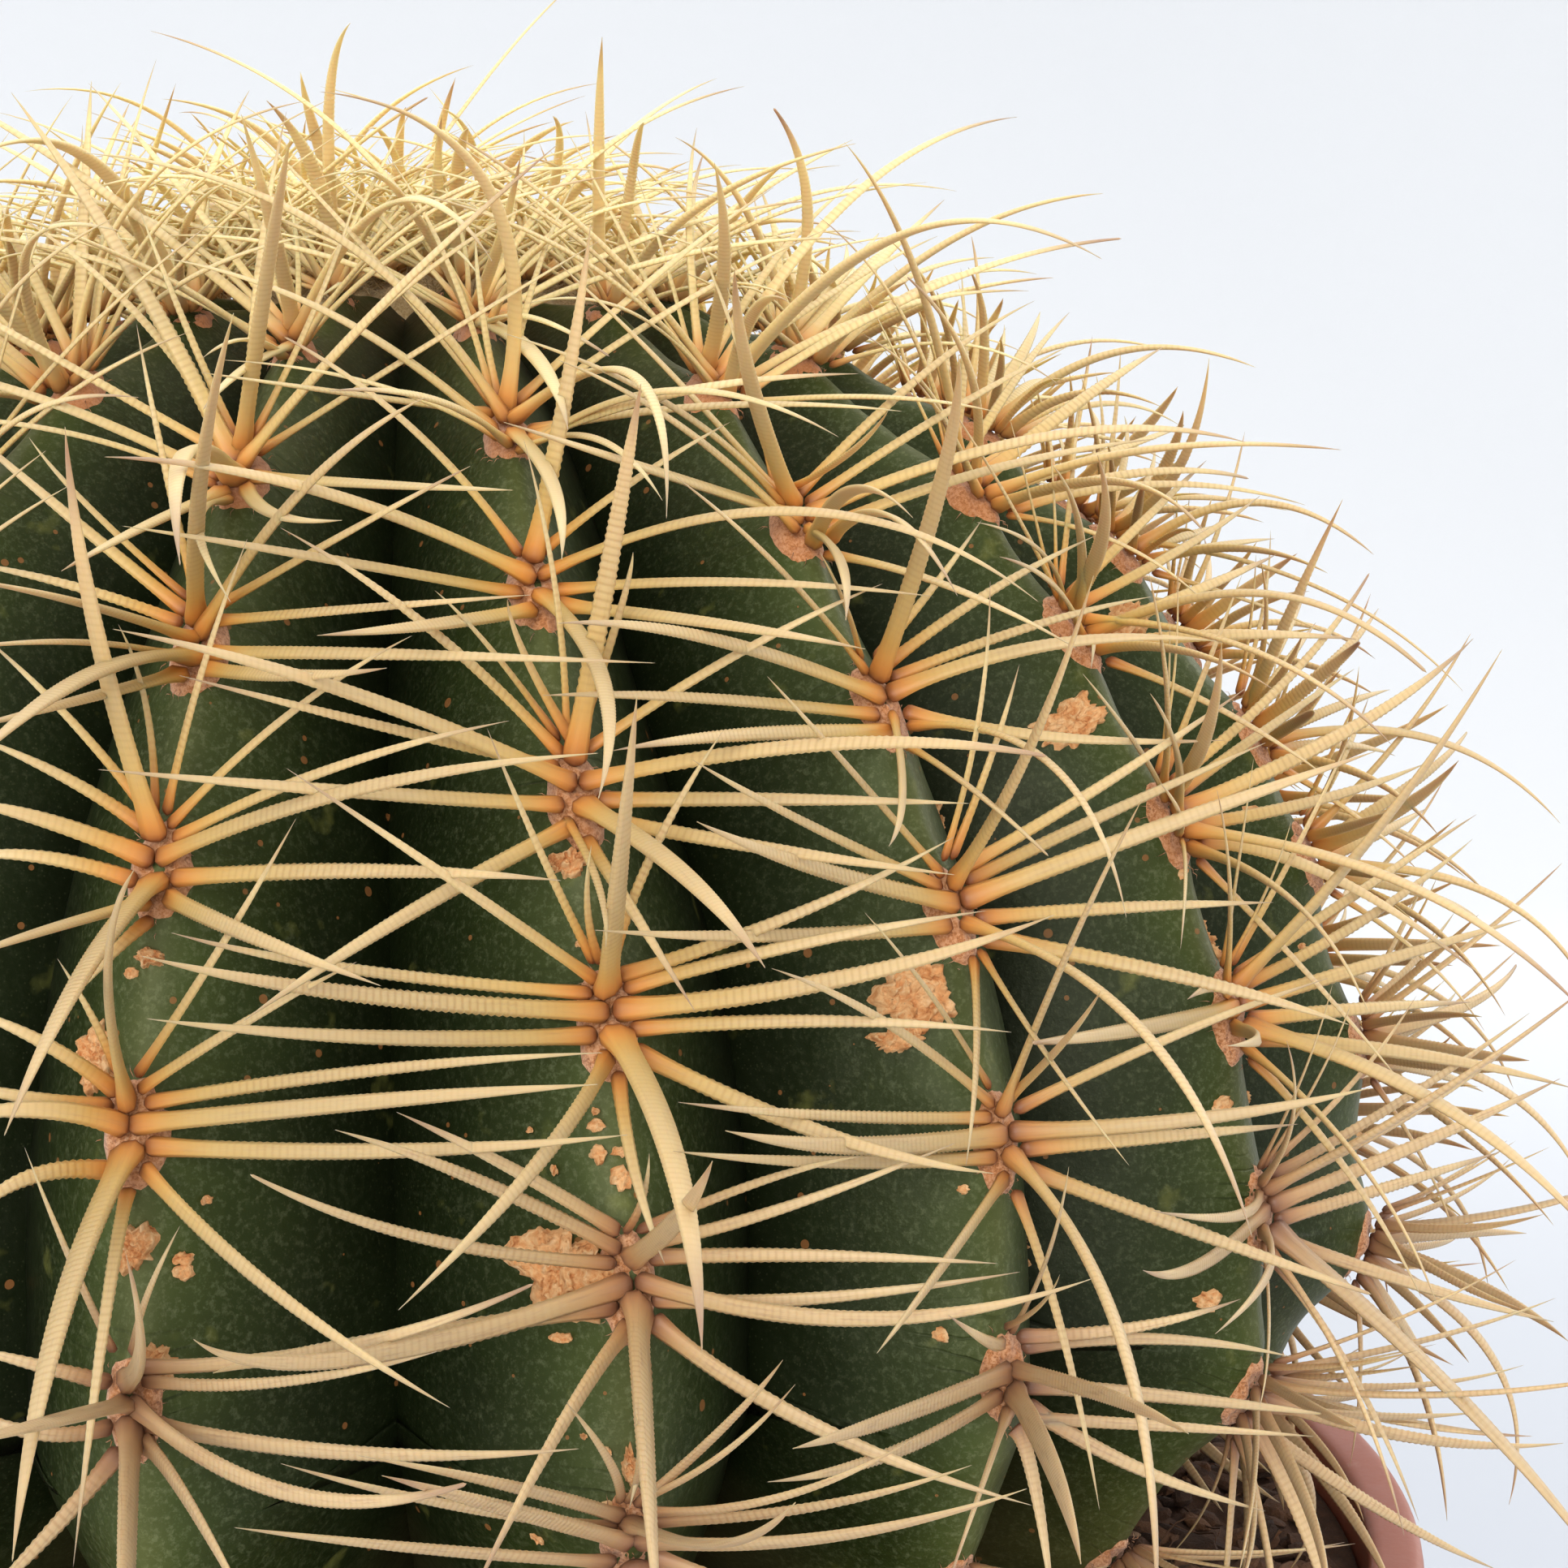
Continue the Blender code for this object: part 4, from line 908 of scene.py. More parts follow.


# Areole felt: matted short plant hairs, dull as wool, pinkish tan, darkening to brown down in its hollows as painted
# shade.
def mattedFelt(name, pale, dark, crumb):
    material, add, surface = newMaterial(name, Roughness=0.95, **{"Sheen Weight": 0.35, "Sheen Roughness": 0.6})
    place = add("TexCoord").outputs["Object"]
    fuzz = add("TexNoise", {"Scale": 1 / (0.30 * mm), "Detail": 5.0, "Roughness": 0.75, "Vector": place})
    clump = add("TexNoise", {"Scale": 1 / (1.4 * mm), "Detail": 2.0, "Vector": place})
    # the darkest stop, passed in as crumb, paints shade into the low places of the fuzz, which are the hollows of its
    # bump
    base = add("ValToRGB", {"ramp": [(0.34, crumb), (0.46, dark), (0.57, pale), (0.80, pale)], "Fac": fuzz})
    clumpShare = add("MapRange", {"range": (0.35, 0.70, 0.45, 0.0), 0: clump})
    tinted = add("Mix", {"data_type": "RGBA", 7: linear(dark), 0: clumpShare, 6: base})
    # still stained amber by new spines near the crown
    unworn = add("Math", {
        "operation": "MULTIPLY", 1: 0.65, 0: add("Attribute", {"attribute_name": "feltUnworn"}).outputs["Fac"]})
    stained = add("Mix", {"data_type": "RGBA", 7: linear("#c87a3a"), 0: unworn, 6: tinted})
    fill(surface, {"Base Color": stained})
    relief = add("Bump", {"Strength": 0.9, "Distance": 0.16 * mm, "Height": fuzz})
    fill(surface, {"Normal": relief})
    return material


def onRib(rib, arc, x, y):
    # a place on the skin, x to the right and y down from a point on a crest
    halfRib = crestAt(arc)[0] * math.pi / ribs
    return rib + 0.5 * np.clip(x / halfRib, -0.98, 0.98), arc + y


def discGrid(rings, segments):
    # rings of a disc from the rim inwards, its quads and the triangles round its middle
    rho = np.repeat(np.linspace(1.0, 1.0 / rings, rings), segments)
    phi = np.tile(fullTurn * np.arange(segments) / segments, rings)
    triangles = capTriangles(rings * segments, (rings - 1) * segments, segments)[:, [1, 2, 0]]
    return np.append(rho, 0.0), np.append(phi, 0.0), ringQuads(rings, segments, inward=True), triangles


def needleMesh(lines, sides=3):
    # thin tapered hairs, each a list of points, with one width
    points, quads, triangles, start = [], [], [], 0
    for line, width in lines:
        line = np.asarray(line)
        count = len(line) - 1
        along = unit(np.gradient(line, axis=0))
        hint = np.array([0.31, 0.52, 0.79])
        wide = unit(np.cross(along, hint))
        thick = np.cross(wide, along)
        phi = fullTurn * np.arange(sides) / sides
        size = width * 0.5 * (1.0 - 0.6 * np.arange(count) / count)
        rings = (line[:count, None] + wide[:count, None] * (size[:, None] * np.cos(phi))[..., None]
                 + thick[:count, None] * (size[:, None] * np.sin(phi))[..., None])
        points.append(np.concatenate([rings.reshape(-1, 3), line[:1], line[-1:]]))
        quads.append(start + ringQuads(count, sides))
        middle = start + count * sides
        ends = (capTriangles(middle, start, sides), capTriangles(middle + 1, middle - sides, sides, inward=True))
        triangles.append(np.stack(ends, 1).reshape(-1, 3))
        start += count * sides + 2
    return np.concatenate(points), np.concatenate(quads), np.concatenate(triangles)


def growFelt():
    rho, phi, quads, triangles = discGrid(felt["rings"], felt["segments"])
    points, allQuads, allTriangles, uv, triUv, hairs, stain = [], [], [], [], [], [], []
    start = 0
    spots = [(rib, step, arc) for (rib, step), arc in areoleArcs.items() if arc < lastShown]
    cells = math.ceil(math.sqrt(len(spots)))
    power = felt["roundness"]
    shape = (np.abs(np.cos(phi)) ** power + np.abs(np.sin(phi)) ** power) ** (-1.0 / power)
    for index, (rib, step, arc) in enumerate(spots):
        rng = random.Random(felt["seed"] + rib * 31 + step)
        youth = 1.0 - float(ease(arc, 22 * mm, 62 * mm))
        size = 1.0 - felt["youngSmaller"] * youth
        size = size * (1.0 - felt["oldSmaller"] * float(ease(arc, 130 * mm, 160 * mm)))
        unworn = 1.0 - float(ease(arc, 40 * mm, 110 * mm))
        long = felt["halfLength"] * size * (1.0 - 0.16 * unworn)
        lower = felt["lower"] * size * (1.0 - 0.6 * unworn)
        x = rho * shape * np.cos(phi) * felt["halfWidth"] * size
        y = rho * shape * np.sin(phi) * long
        edge = 1.0 + felt["ragged"] * rough(polar(1.2, phi, index * 3.1), 1.0) * rho
        x, y = x * edge, y * edge + lower
        place, arcs = onRib(rib, arc, x, y)
        base, normal = skinPoint(place, arcs)
        height = felt["rise"] * (1.0 - rho ** 5) - felt["edgeDepth"] * rho ** 6
        for kx, ky, width, *_, often in spineKinds.values():
            if often == 0.0:
                continue
            away = np.hypot(x / mm - kx * size, y / mm - ky * size)
            height = height - felt["dent"] * np.exp(-(away / (0.62 * width + 0.1)) ** 2) * (1.0 - rho ** 4)
        height = height + felt["clumpRise"] * rough(base, felt["clumpSize"], 2.0) * (1.0 - 0.5 * rho)
        points.append(base + normal * height[:, None])
        stain.append(np.full(len(rho), unworn))
        allQuads.append(quads + start)
        allTriangles.append(triangles + start)
        flatUv = np.stack([(index % cells + 0.5 + 0.46 * rho * np.cos(phi)) / cells,
                           (index // cells + 0.5 + 0.46 * rho * np.sin(phi)) / cells], -1)
        uv.append(flatUv[quads].reshape(-1, 2))
        triUv.append(flatUv[triangles].reshape(-1, 2))
        start += len(rho)
        for _ in range(felt["hairs"]):
            turnAt = rng.random() * fullTurn
            reach = 0.80 + 0.25 * rng.random()
            k = (abs(math.cos(turnAt)) ** power + abs(math.sin(turnAt)) ** power) ** (-1.0 / power)
            hx, hy = math.cos(turnAt) * k * felt["halfWidth"] * size, math.sin(turnAt) * k * long
            a, n = skinPoint(*onRib(rib, arc, np.array(hx * reach), np.array(hy * reach + lower)))
            b = skinPoint(*onRib(rib, arc, np.array(hx * (reach + 0.22)), np.array(hy * (reach + 0.12) + lower)))[0]
            jitter = np.array([rng.random() - 0.5 for _ in range(3)]) * 0.8 * mm
            a, b = a + n * 0.4 * mm, b + n * 0.35 * mm + jitter
            hairs.append(([a, (a + b) / 2 + n * 0.25 * mm, b], felt["hairWidth"]))
    material = mattedFelt("areoleFelt", "#e0a97c", "#bd763c", "#74401c")
    mesh = [np.concatenate(rows) for rows in (points, allQuads, allTriangles)]
    makePiece("areole_felt", *mesh, material, "wool", cornerUv=np.concatenate(uv + triUv),
              facts={"feltUnworn": np.concatenate(stain)})
    makePiece("areole_hairs", *needleMesh(hairs), material, "wool")


growFelt()
print("areoles felted")


# Wool of the crown

crownWool = {
    "radius": 23.5 * mm,
    "rise": 5.0 * mm,
    "rings": 34,
    "segments": 110,
    "tufts": 1500,
    "tuftLength": 6.5 * mm,
    "tuftWidth": 0.13 * mm,
    "rimDrop": 2.6 * mm,          # how far the rim goes down between the ribs
    "lumpSize": 5.5 * mm,
    "lumpRise": 1.6 * mm,
    "grainSize": 1.2 * mm,
    "grainRise": 0.5 * mm,
    "seed": 77,
}


def growWool():
    w = crownWool
    rho, phi, quads, triangles = discGrid(w["rings"], w["segments"])
    radius = w["radius"] * rho * (1.0 + 0.05 * np.sin(ribs * phi) * rho)
    upper = crestHeight > plant["equator"]
    floor = np.interp(radius, crestRadius[upper], crestHeight[upper])
    dip = plant["crownDip"] * (1.0 - ease(radius, 9 * mm, 24 * mm))
    flatPoints = polar(radius, phi, 0.0)
    bumps = rough(flatPoints, w["lumpSize"], 6.0) * w["lumpRise"]
    bumps = bumps + rough(flatPoints, w["grainSize"], 7.0) * w["grainRise"]
    points = flatPoints.copy()
    points[:, 2] = floor - dip + w["rise"] * (1.0 - rho ** 3) - w["rimDrop"] * rho ** 8 + bumps * (1.0 - rho ** 6)
    material = mattedFelt("crownWool", "#ead6a6", "#cfae74", "#9a7546")
    makePiece("crown_wool_cap", points, quads, triangles, material, "wool", stands=("crown_wool",))
    rng = random.Random(w["seed"])
    tufts = []
    for _ in range(w["tufts"]):
        r = w["radius"] * 0.97 * math.sqrt(rng.random())
        a = rng.random() * fullTurn
        start = np.array([r * math.cos(a), r * math.sin(a), 0.0])
        share = r / w["radius"]
        start[2] = float(np.interp(r, radius[::-1], (floor - dip)[::-1]))
        start[2] = start[2] + w["rise"] * (1.0 - share ** 3) - 0.8 * mm
        heading = rng.random() * fullTurn
        lean = np.array([math.cos(heading), math.sin(heading), 0.55 + 0.7 * rng.random()])
        lean /= np.linalg.norm(lean)
        length = w["tuftLength"] * (0.4 + 0.6 * rng.random())
        curl = np.array([rng.random() - 0.5, rng.random() - 0.5, -0.6 * rng.random()]) * length * 0.9
        line = [start + lean * length * t + curl * t * t for t in (0.0, 0.25, 0.5, 0.75, 1.0)]
        tufts.append((line, w["tuftWidth"]))
    makePiece("crown_wool_tufts", *needleMesh(tufts), material, "wool")


growWool()
print("crown woolled")


# Cork

# scars that the photograph shows: pixel of the middle, width and height in mm
seenScars = [
    (703, 1562, 6.4, 7.2), (1128, 1232, 5.4, 6.6), (1098, 1288, 3.2, 2.2), (703, 1056, 3.0, 1.9),
    (187, 1188, 2.3, 1.6), (160, 1205, 1.2, 1.0), (1475, 1155, 4.4, 4.0), (112, 1300, 4.6, 4.8),
    (1150, 1010, 3.2, 3.0), (165, 1530, 3.0, 3.4), (190, 1672, 2.6, 3.0), (692, 1652, 1.5, 0.9),
    (728, 1383, 1.25, 1.1), (734, 1427, 1.4, 1.4), (771, 1449, 1.9, 1.8), (760, 1412, 1.3, 0.8),
    (736, 1362, 0.6, 0.6), (683, 1448, 0.6, 0.9), (782, 1470, 1.1, 0.9), (714, 1168, 0.6, 0.5),
    (735, 1785, 0.7, 0.7), (722, 1770, 0.5, 0.4), (737, 1860, 1.4, 1.2), (775, 1812, 1.0, 2.4),
    (216, 1545, 1.3, 1.2), (221, 1570, 1.2, 1.3), (240, 1478, 0.8, 0.7), (692, 1750, 0.5, 0.5),
    (1180, 1470, 0.8, 0.8), (1160, 1640, 1.0, 1.2), (1235, 1300, 1.6, 2.2), (1258, 1545, 1.0, 2.6),
    (1490, 1600, 2.0, 2.0), (655, 1890, 1.0, 0.7), (640, 1400, 0.5, 0.5), (790, 1255, 0.4, 0.4),
]
cork = {
    "rise": 0.85 * mm,
    "wrinkle": 1.15 * mm,
    "sink": 0.35 * mm,
    "perRib": 7,              # scars and specks on each rib that the photograph doesn't show
    "big": 2.2 * mm,          # above this a scar has a fine mesh
    "ragged": 0.50,           # of its size
    "lipAt": 0.82,            # of its radius, where its rim stands up
    "lipWidth": 0.12,
    "seed": 321,
}


# Cork: dead tissue where the skin was rubbed or scorched, dry and matt, tan, darker orange down in its folds as
# painted shade, with dark pits.
def dryCork():
    material, add, surface = newMaterial("dryCork", Roughness=0.85)
    place = add("TexCoord").outputs["Object"]
    folds = add("TexNoise", {
        "Scale": 1 / (1.2 * mm), "Detail": 5.0, "Roughness": 0.6, "Distortion": 1.2, "Vector": place})
    grain = add("TexNoise", {"Scale": 1 / (0.25 * mm), "Detail": 3.0, "Roughness": 0.7, "Vector": place})
    # the low places of the folds, the hollows of the deep bump, take the darker orange as painted shade
    base = add("ValToRGB", {
        "ramp": [(0.28, "#a05a2a"), (0.42, "#cf8f56"), (0.58, "#e0b07a"), (0.78, "#ebca9f")], "Fac": folds})
    pitShare = add("MapRange", {"range": (0.26, 0.38, 0.6, 0.0), 0: grain})
    pitted = add("Mix", {"data_type": "RGBA", 7: linear("#6b4430"), 0: pitShare, 6: base})
    fill(surface, {"Base Color": pitted})
    fine = add("Bump", {"Strength": 0.6, "Distance": 0.10 * mm, "Height": grain})
    deep = add("Bump", {"Strength": 0.8, "Distance": 0.30 * mm, "Height": folds, "Normal": fine})
    fill(surface, {"Normal": deep})
    return material


def growCork():
    seenSkin, skinDepth = toPixel(skinPoints)
    facing = np.einsum("ij,ij->i", skinNormal.reshape(-1, 3), unit(eye - skinPoints)) > 0.05
    spots = []
    for x, y, width, height in seenScars:
        miss = np.where(facing & (skinDepth > 0), np.hypot(seenSkin[:, 0] - x, seenSkin[:, 1] - y), 1e9)
        k = int(np.argmin(miss))
        spots.append((float(placeWrapped.ravel()[k]), float(arcGrid.ravel()[k]), width * mm, height * mm))
    rng = random.Random(cork["seed"])
    for rib in range(ribs):
        if rib in (0, 1, 2):
            continue
        for _ in range(cork["perRib"]):
            step = rng.choice((6, 7, 8, 9, 10))
            arc = areoleArcs[(rib, step)] + (5.5 + 8 * rng.random()) * mm
            size = 0.5 + 1.2 * rng.random() ** 2 if rng.random() < 0.82 else 2.5 + 3.0 * rng.random()
            place, arc = onRib(rib, arc, np.array((rng.random() - 0.5) * 13 * mm), 0.0)
            spots.append((float(place), float(arc), size * mm, size * mm * (0.7 + 0.8 * rng.random())))
    points, allQuads, allTriangles, start = [], [], [], 0
    for index, (place, arc, width, height) in enumerate(spots):
        big = max(width, height) > cork["big"]
        rho, phi, quads, triangles = discGrid(28 if big else 6, 92 if big else 22)
        ragged = 1.0 + cork["ragged"] * rough(polar(1.5, phi, index * 2.7), 1.0, 1.0, 3 if big else 2) * rho
        x = rho * np.cos(phi) * width * 0.5 * ragged
        y = rho * np.sin(phi) * height * 0.5 * ragged
        rib = int(round(place))
        halfRib = crestAt(arc)[0] * math.pi / ribs
        centreX = (place - rib) * 2.0 * halfRib
        base, normal = skinPoint(*onRib(rib, arc, np.clip(centreX + x, -0.95 * halfRib, 0.95 * halfRib), y))
        size = 1.0 if big else 0.55
        folds = np.abs(rough(base, cork["wrinkle"] * size, 9.0, 3)) * 1.5
        lip = np.exp(-((rho - cork["lipAt"]) / cork["lipWidth"]) ** 2)
        height3d = size * cork["rise"] * ((0.35 + 0.9 * folds + 0.45 * lip) * (1.0 - rho ** 8))
        height3d = height3d - cork["sink"] * rho ** 10
        points.append(base + normal * height3d[:, None])
        allQuads.append(quads + start)
        allTriangles.append(triangles + start)
        start += len(rho)
    mesh = [np.concatenate(rows) for rows in (points, allQuads, allTriangles)]
    makePiece("corky_scars", *mesh, dryCork(), "cactus")


growCork()
print("cork grown")


# Pot and potting mix

pot = {
    "height": 165.0 * mm,
    "lipRadius": 106.7 * mm,
    "lipWidth": 5.7 * mm,
    "lipDepth": 21.0 * mm,
    "topRadius": 98.5 * mm,
    "baseRadius": 78.0 * mm,
    "wall": 3.0 * mm,
    "floor": 4.0 * mm,
    "edge": 1.6 * mm,
    "drainHoles": 6,
    "drainRadius": 5.0 * mm,
    "drainCircle": 48.0 * mm,
    "segments": 192,
}


def softened(corners, radius, steps=4):
    # a profile with its corners rounded off
    out = [corners[0]]
    for before, corner, after in zip(corners, corners[1:], corners[2:]):
        before, corner, after = np.array(before), np.array(corner), np.array(after)
        a, b = before - corner, after - corner
        cut = min(radius, 0.45 * np.linalg.norm(a), 0.45 * np.linalg.norm(b))
        a, b = corner + unit(a) * cut, corner + unit(b) * cut
        for t in np.linspace(0, 1, steps):
            out.append(tuple((1 - t) ** 2 * a + 2 * t * (1 - t) * corner + t * t * b))
    return out + [corners[-1]]


def lathe(profile, segments):
    # first and last points of the profile lie on the axis
    around = fullTurn * np.arange(segments) / segments
    body = profile[1:-1]
    points = [(r * math.cos(a), r * math.sin(a), z) for r, z in body for a in around]
    points += [(0.0, 0.0, profile[0][1]), (0.0, 0.0, profile[-1][1])]
    middle = len(body) * segments
    ends = (capTriangles(middle, 0, segments, inward=True), capTriangles(middle + 1, middle - segments, segments))
    return points, ringQuads(len(body), segments, inward=True), np.concatenate(ends)


# Pot plastic: injection-moulded polypropylene, satin, with a faint orange-peel skin, scuffs and dried splashes.
def mouldedPolypropylene():
    material, add, surface = newMaterial("mouldedPolypropylene", Roughness=0.42, IOR=1.49)
    place = add("TexCoord").outputs["Object"]
    cloud = add("TexNoise", {"Scale": 1 / (45 * mm), "Detail": 4.0, "Vector": place})
    peel = add("TexNoise", {"Scale": 1 / (0.7 * mm), "Detail": 2.0, "Vector": place})
    base = add("ValToRGB", {"ramp": [(0.30, "#98523d"), (0.50, "#a05a43"), (0.75, "#a9644f")], "Fac": cloud})
    dust = add("TexNoise", {"Scale": 1 / (9 * mm), "Detail": 7.0, "Roughness": 0.72, "Vector": place})
    dustShare = add("MapRange", {"range": (0.58, 0.80, 0.0, 0.35), 0: dust})
    dusty = add("Mix", {"data_type": "RGBA", 7: linear("#d8c2b4"), 0: dustShare, 6: base})
    fill(surface, {"Base Color": dusty})
    dull = add("MapRange", {"range": (0.35, 0.75, 0.36, 0.56), 0: dust})
    fill(surface, {"Roughness": dull})
    scuffPlace = add("Mapping", {"Scale": (1.0, 1.0, 9.0), "Vector": place})
    scuff = add("TexNoise", {"Scale": 1 / (16 * mm), "Detail": 6.0, "Roughness": 0.8, "Vector": scuffPlace})
    fine = add("Bump", {"Strength": 0.35, "Distance": 0.05 * mm, "Height": peel})
    marks = add("Bump", {"Strength": 0.25, "Distance": 0.10 * mm, "Height": scuff, "Normal": fine})
    fill(surface, {"Normal": marks})
    return material


def makePot():
    p = pot
    lipInner = p["lipRadius"] - p["lipWidth"]
    lipFoot = p["height"] - p["lipDepth"]
    innerTop = p["topRadius"] - p["wall"]
    innerBase = p["baseRadius"] - p["wall"] + (p["topRadius"] - p["baseRadius"]) * p["floor"] / lipFoot
    foot = 1.6 * mm      # the base stands on a low ring, as moulded pots do
    outside = [(0.0, foot), (p["baseRadius"] - 9 * mm, foot), (p["baseRadius"] - 7 * mm, 0.0),
               (p["baseRadius"] - 0.3 * mm, 0.0), (p["topRadius"] - 0.2 * mm, lipFoot - 1.0 * mm),
               (p["topRadius"], lipFoot), (p["lipRadius"], lipFoot), (p["lipRadius"], p["height"])]
    inside = [(lipInner, p["height"]), (lipInner, lipFoot + 0.5 * p["lipDepth"]), (innerTop, lipFoot - 1.2 * mm),
              (innerBase, p["floor"]), (0.0, p["floor"])]
    mesh = lathe(softened(outside + inside, p["edge"], 5), p["segments"])
    piece = makePiece("pot_shell", *mesh, mouldedPolypropylene(), "pot_plastic", stands=("pot",))
    drill, drillFaces = [], []
    for hole in range(p["drainHoles"]):
        angle = fullTurn * (hole + 0.5) / p["drainHoles"]
        n, start = 32, len(drill)
        for z in (-5 * mm, 9 * mm):
            for k in range(n):
                t = fullTurn * k / n
                drill.append((p["drainCircle"] * math.cos(angle) + p["drainRadius"] * math.cos(t),
                              p["drainCircle"] * math.sin(angle) + p["drainRadius"] * math.sin(t), z))
        drillFaces += [(start + k, start + (k + 1) % n, start + n + (k + 1) % n, start + n + k) for k in range(n)]
        drillFaces += [tuple(start + k for k in reversed(range(n))), tuple(start + n + k for k in range(n))]
    mesh = bpy.data.meshes.new("drill")
    mesh.from_pydata(drill, [], drillFaces)
    cutter = bpy.data.objects.new("drill", mesh)
    bpy.context.scene.collection.objects.link(cutter)
    cut = piece.modifiers.new("drain holes", "BOOLEAN")
    cut.operation = "DIFFERENCE"
    cut.object = cutter
    bpy.context.view_layer.update()
    done = bpy.data.meshes.new_from_object(piece.evaluated_get(bpy.context.evaluated_depsgraph_get()))
    piece.modifiers.clear()
    piece.data = done
    bpy.data.objects.remove(cutter, do_unlink=True)
    print("pot_shell drilled,", len(done.polygons), "faces")


makePot()

mix = {
    "belowLip": 6.5 * mm,
    "heap": 3.0 * mm,
    "relief": 1.5 * mm,
    "rings": 70,
    "segments": 260,
    "chips": 1500,
    "fibres": 260,
    "grit": 130,
    "clodSize": 7 * mm,
    "crumbSize": 2.2 * mm,
    "crumbRise": 0.8 * mm,
    "innerRadius": 50 * mm,       # under the plant, where no surface is needed
    "flatTo": 78 * mm,            # where the heap begins to fall towards the edge
    "chipsFrom": 66 * mm,
    "fibresFrom": 70 * mm,
    "seed": 58,
}


# Potting mix: composted bark, coir and a little grit, dry on top, so it is matt brown with paler, torn edges.
def barkMix():
    material, add, surface = newMaterial("barkMix", Roughness=0.93)
    place = add("TexCoord").outputs["Object"]
    tone = add("Attribute", {"attribute_name": "tone"}).outputs["Fac"]
    crumb = add("TexNoise", {"Scale": 1 / (1.6 * mm), "Detail": 6.0, "Roughness": 0.7, "Vector": place})
    grain = add("TexNoise", {"Scale": 1 / (0.4 * mm), "Detail": 3.0, "Roughness": 0.7, "Vector": place})
    own = add("Math", {
        "operation": "MULTIPLY_ADD", 1: 0.45, 0: crumb,
        2: add("Math", {"operation": "MULTIPLY", 1: 0.55, 0: tone})})
    base = add("ValToRGB", {
        "ramp": [
            (0.15, "#28180d"), (0.38, "#402817"), (0.58, "#5c3c25"), (0.74, "#7e583b"), (0.95, "#b0987c")],
        "Fac": own})
    fill(surface, {"Base Color": base})
    fine = add("Bump", {"Strength": 0.7, "Distance": 0.15 * mm, "Height": grain})
    coarse = add("Bump", {"Strength": 0.8, "Distance": 0.5 * mm, "Height": crumb, "Normal": fine})
    fill(surface, {"Normal": coarse})
    return material


def mixHeight(r):
    edge = pot["lipRadius"] - pot["lipWidth"]
    return pot["height"] - mix["belowLip"] + mix["heap"] * (1.0 - ease(r, mix["flatTo"], edge))


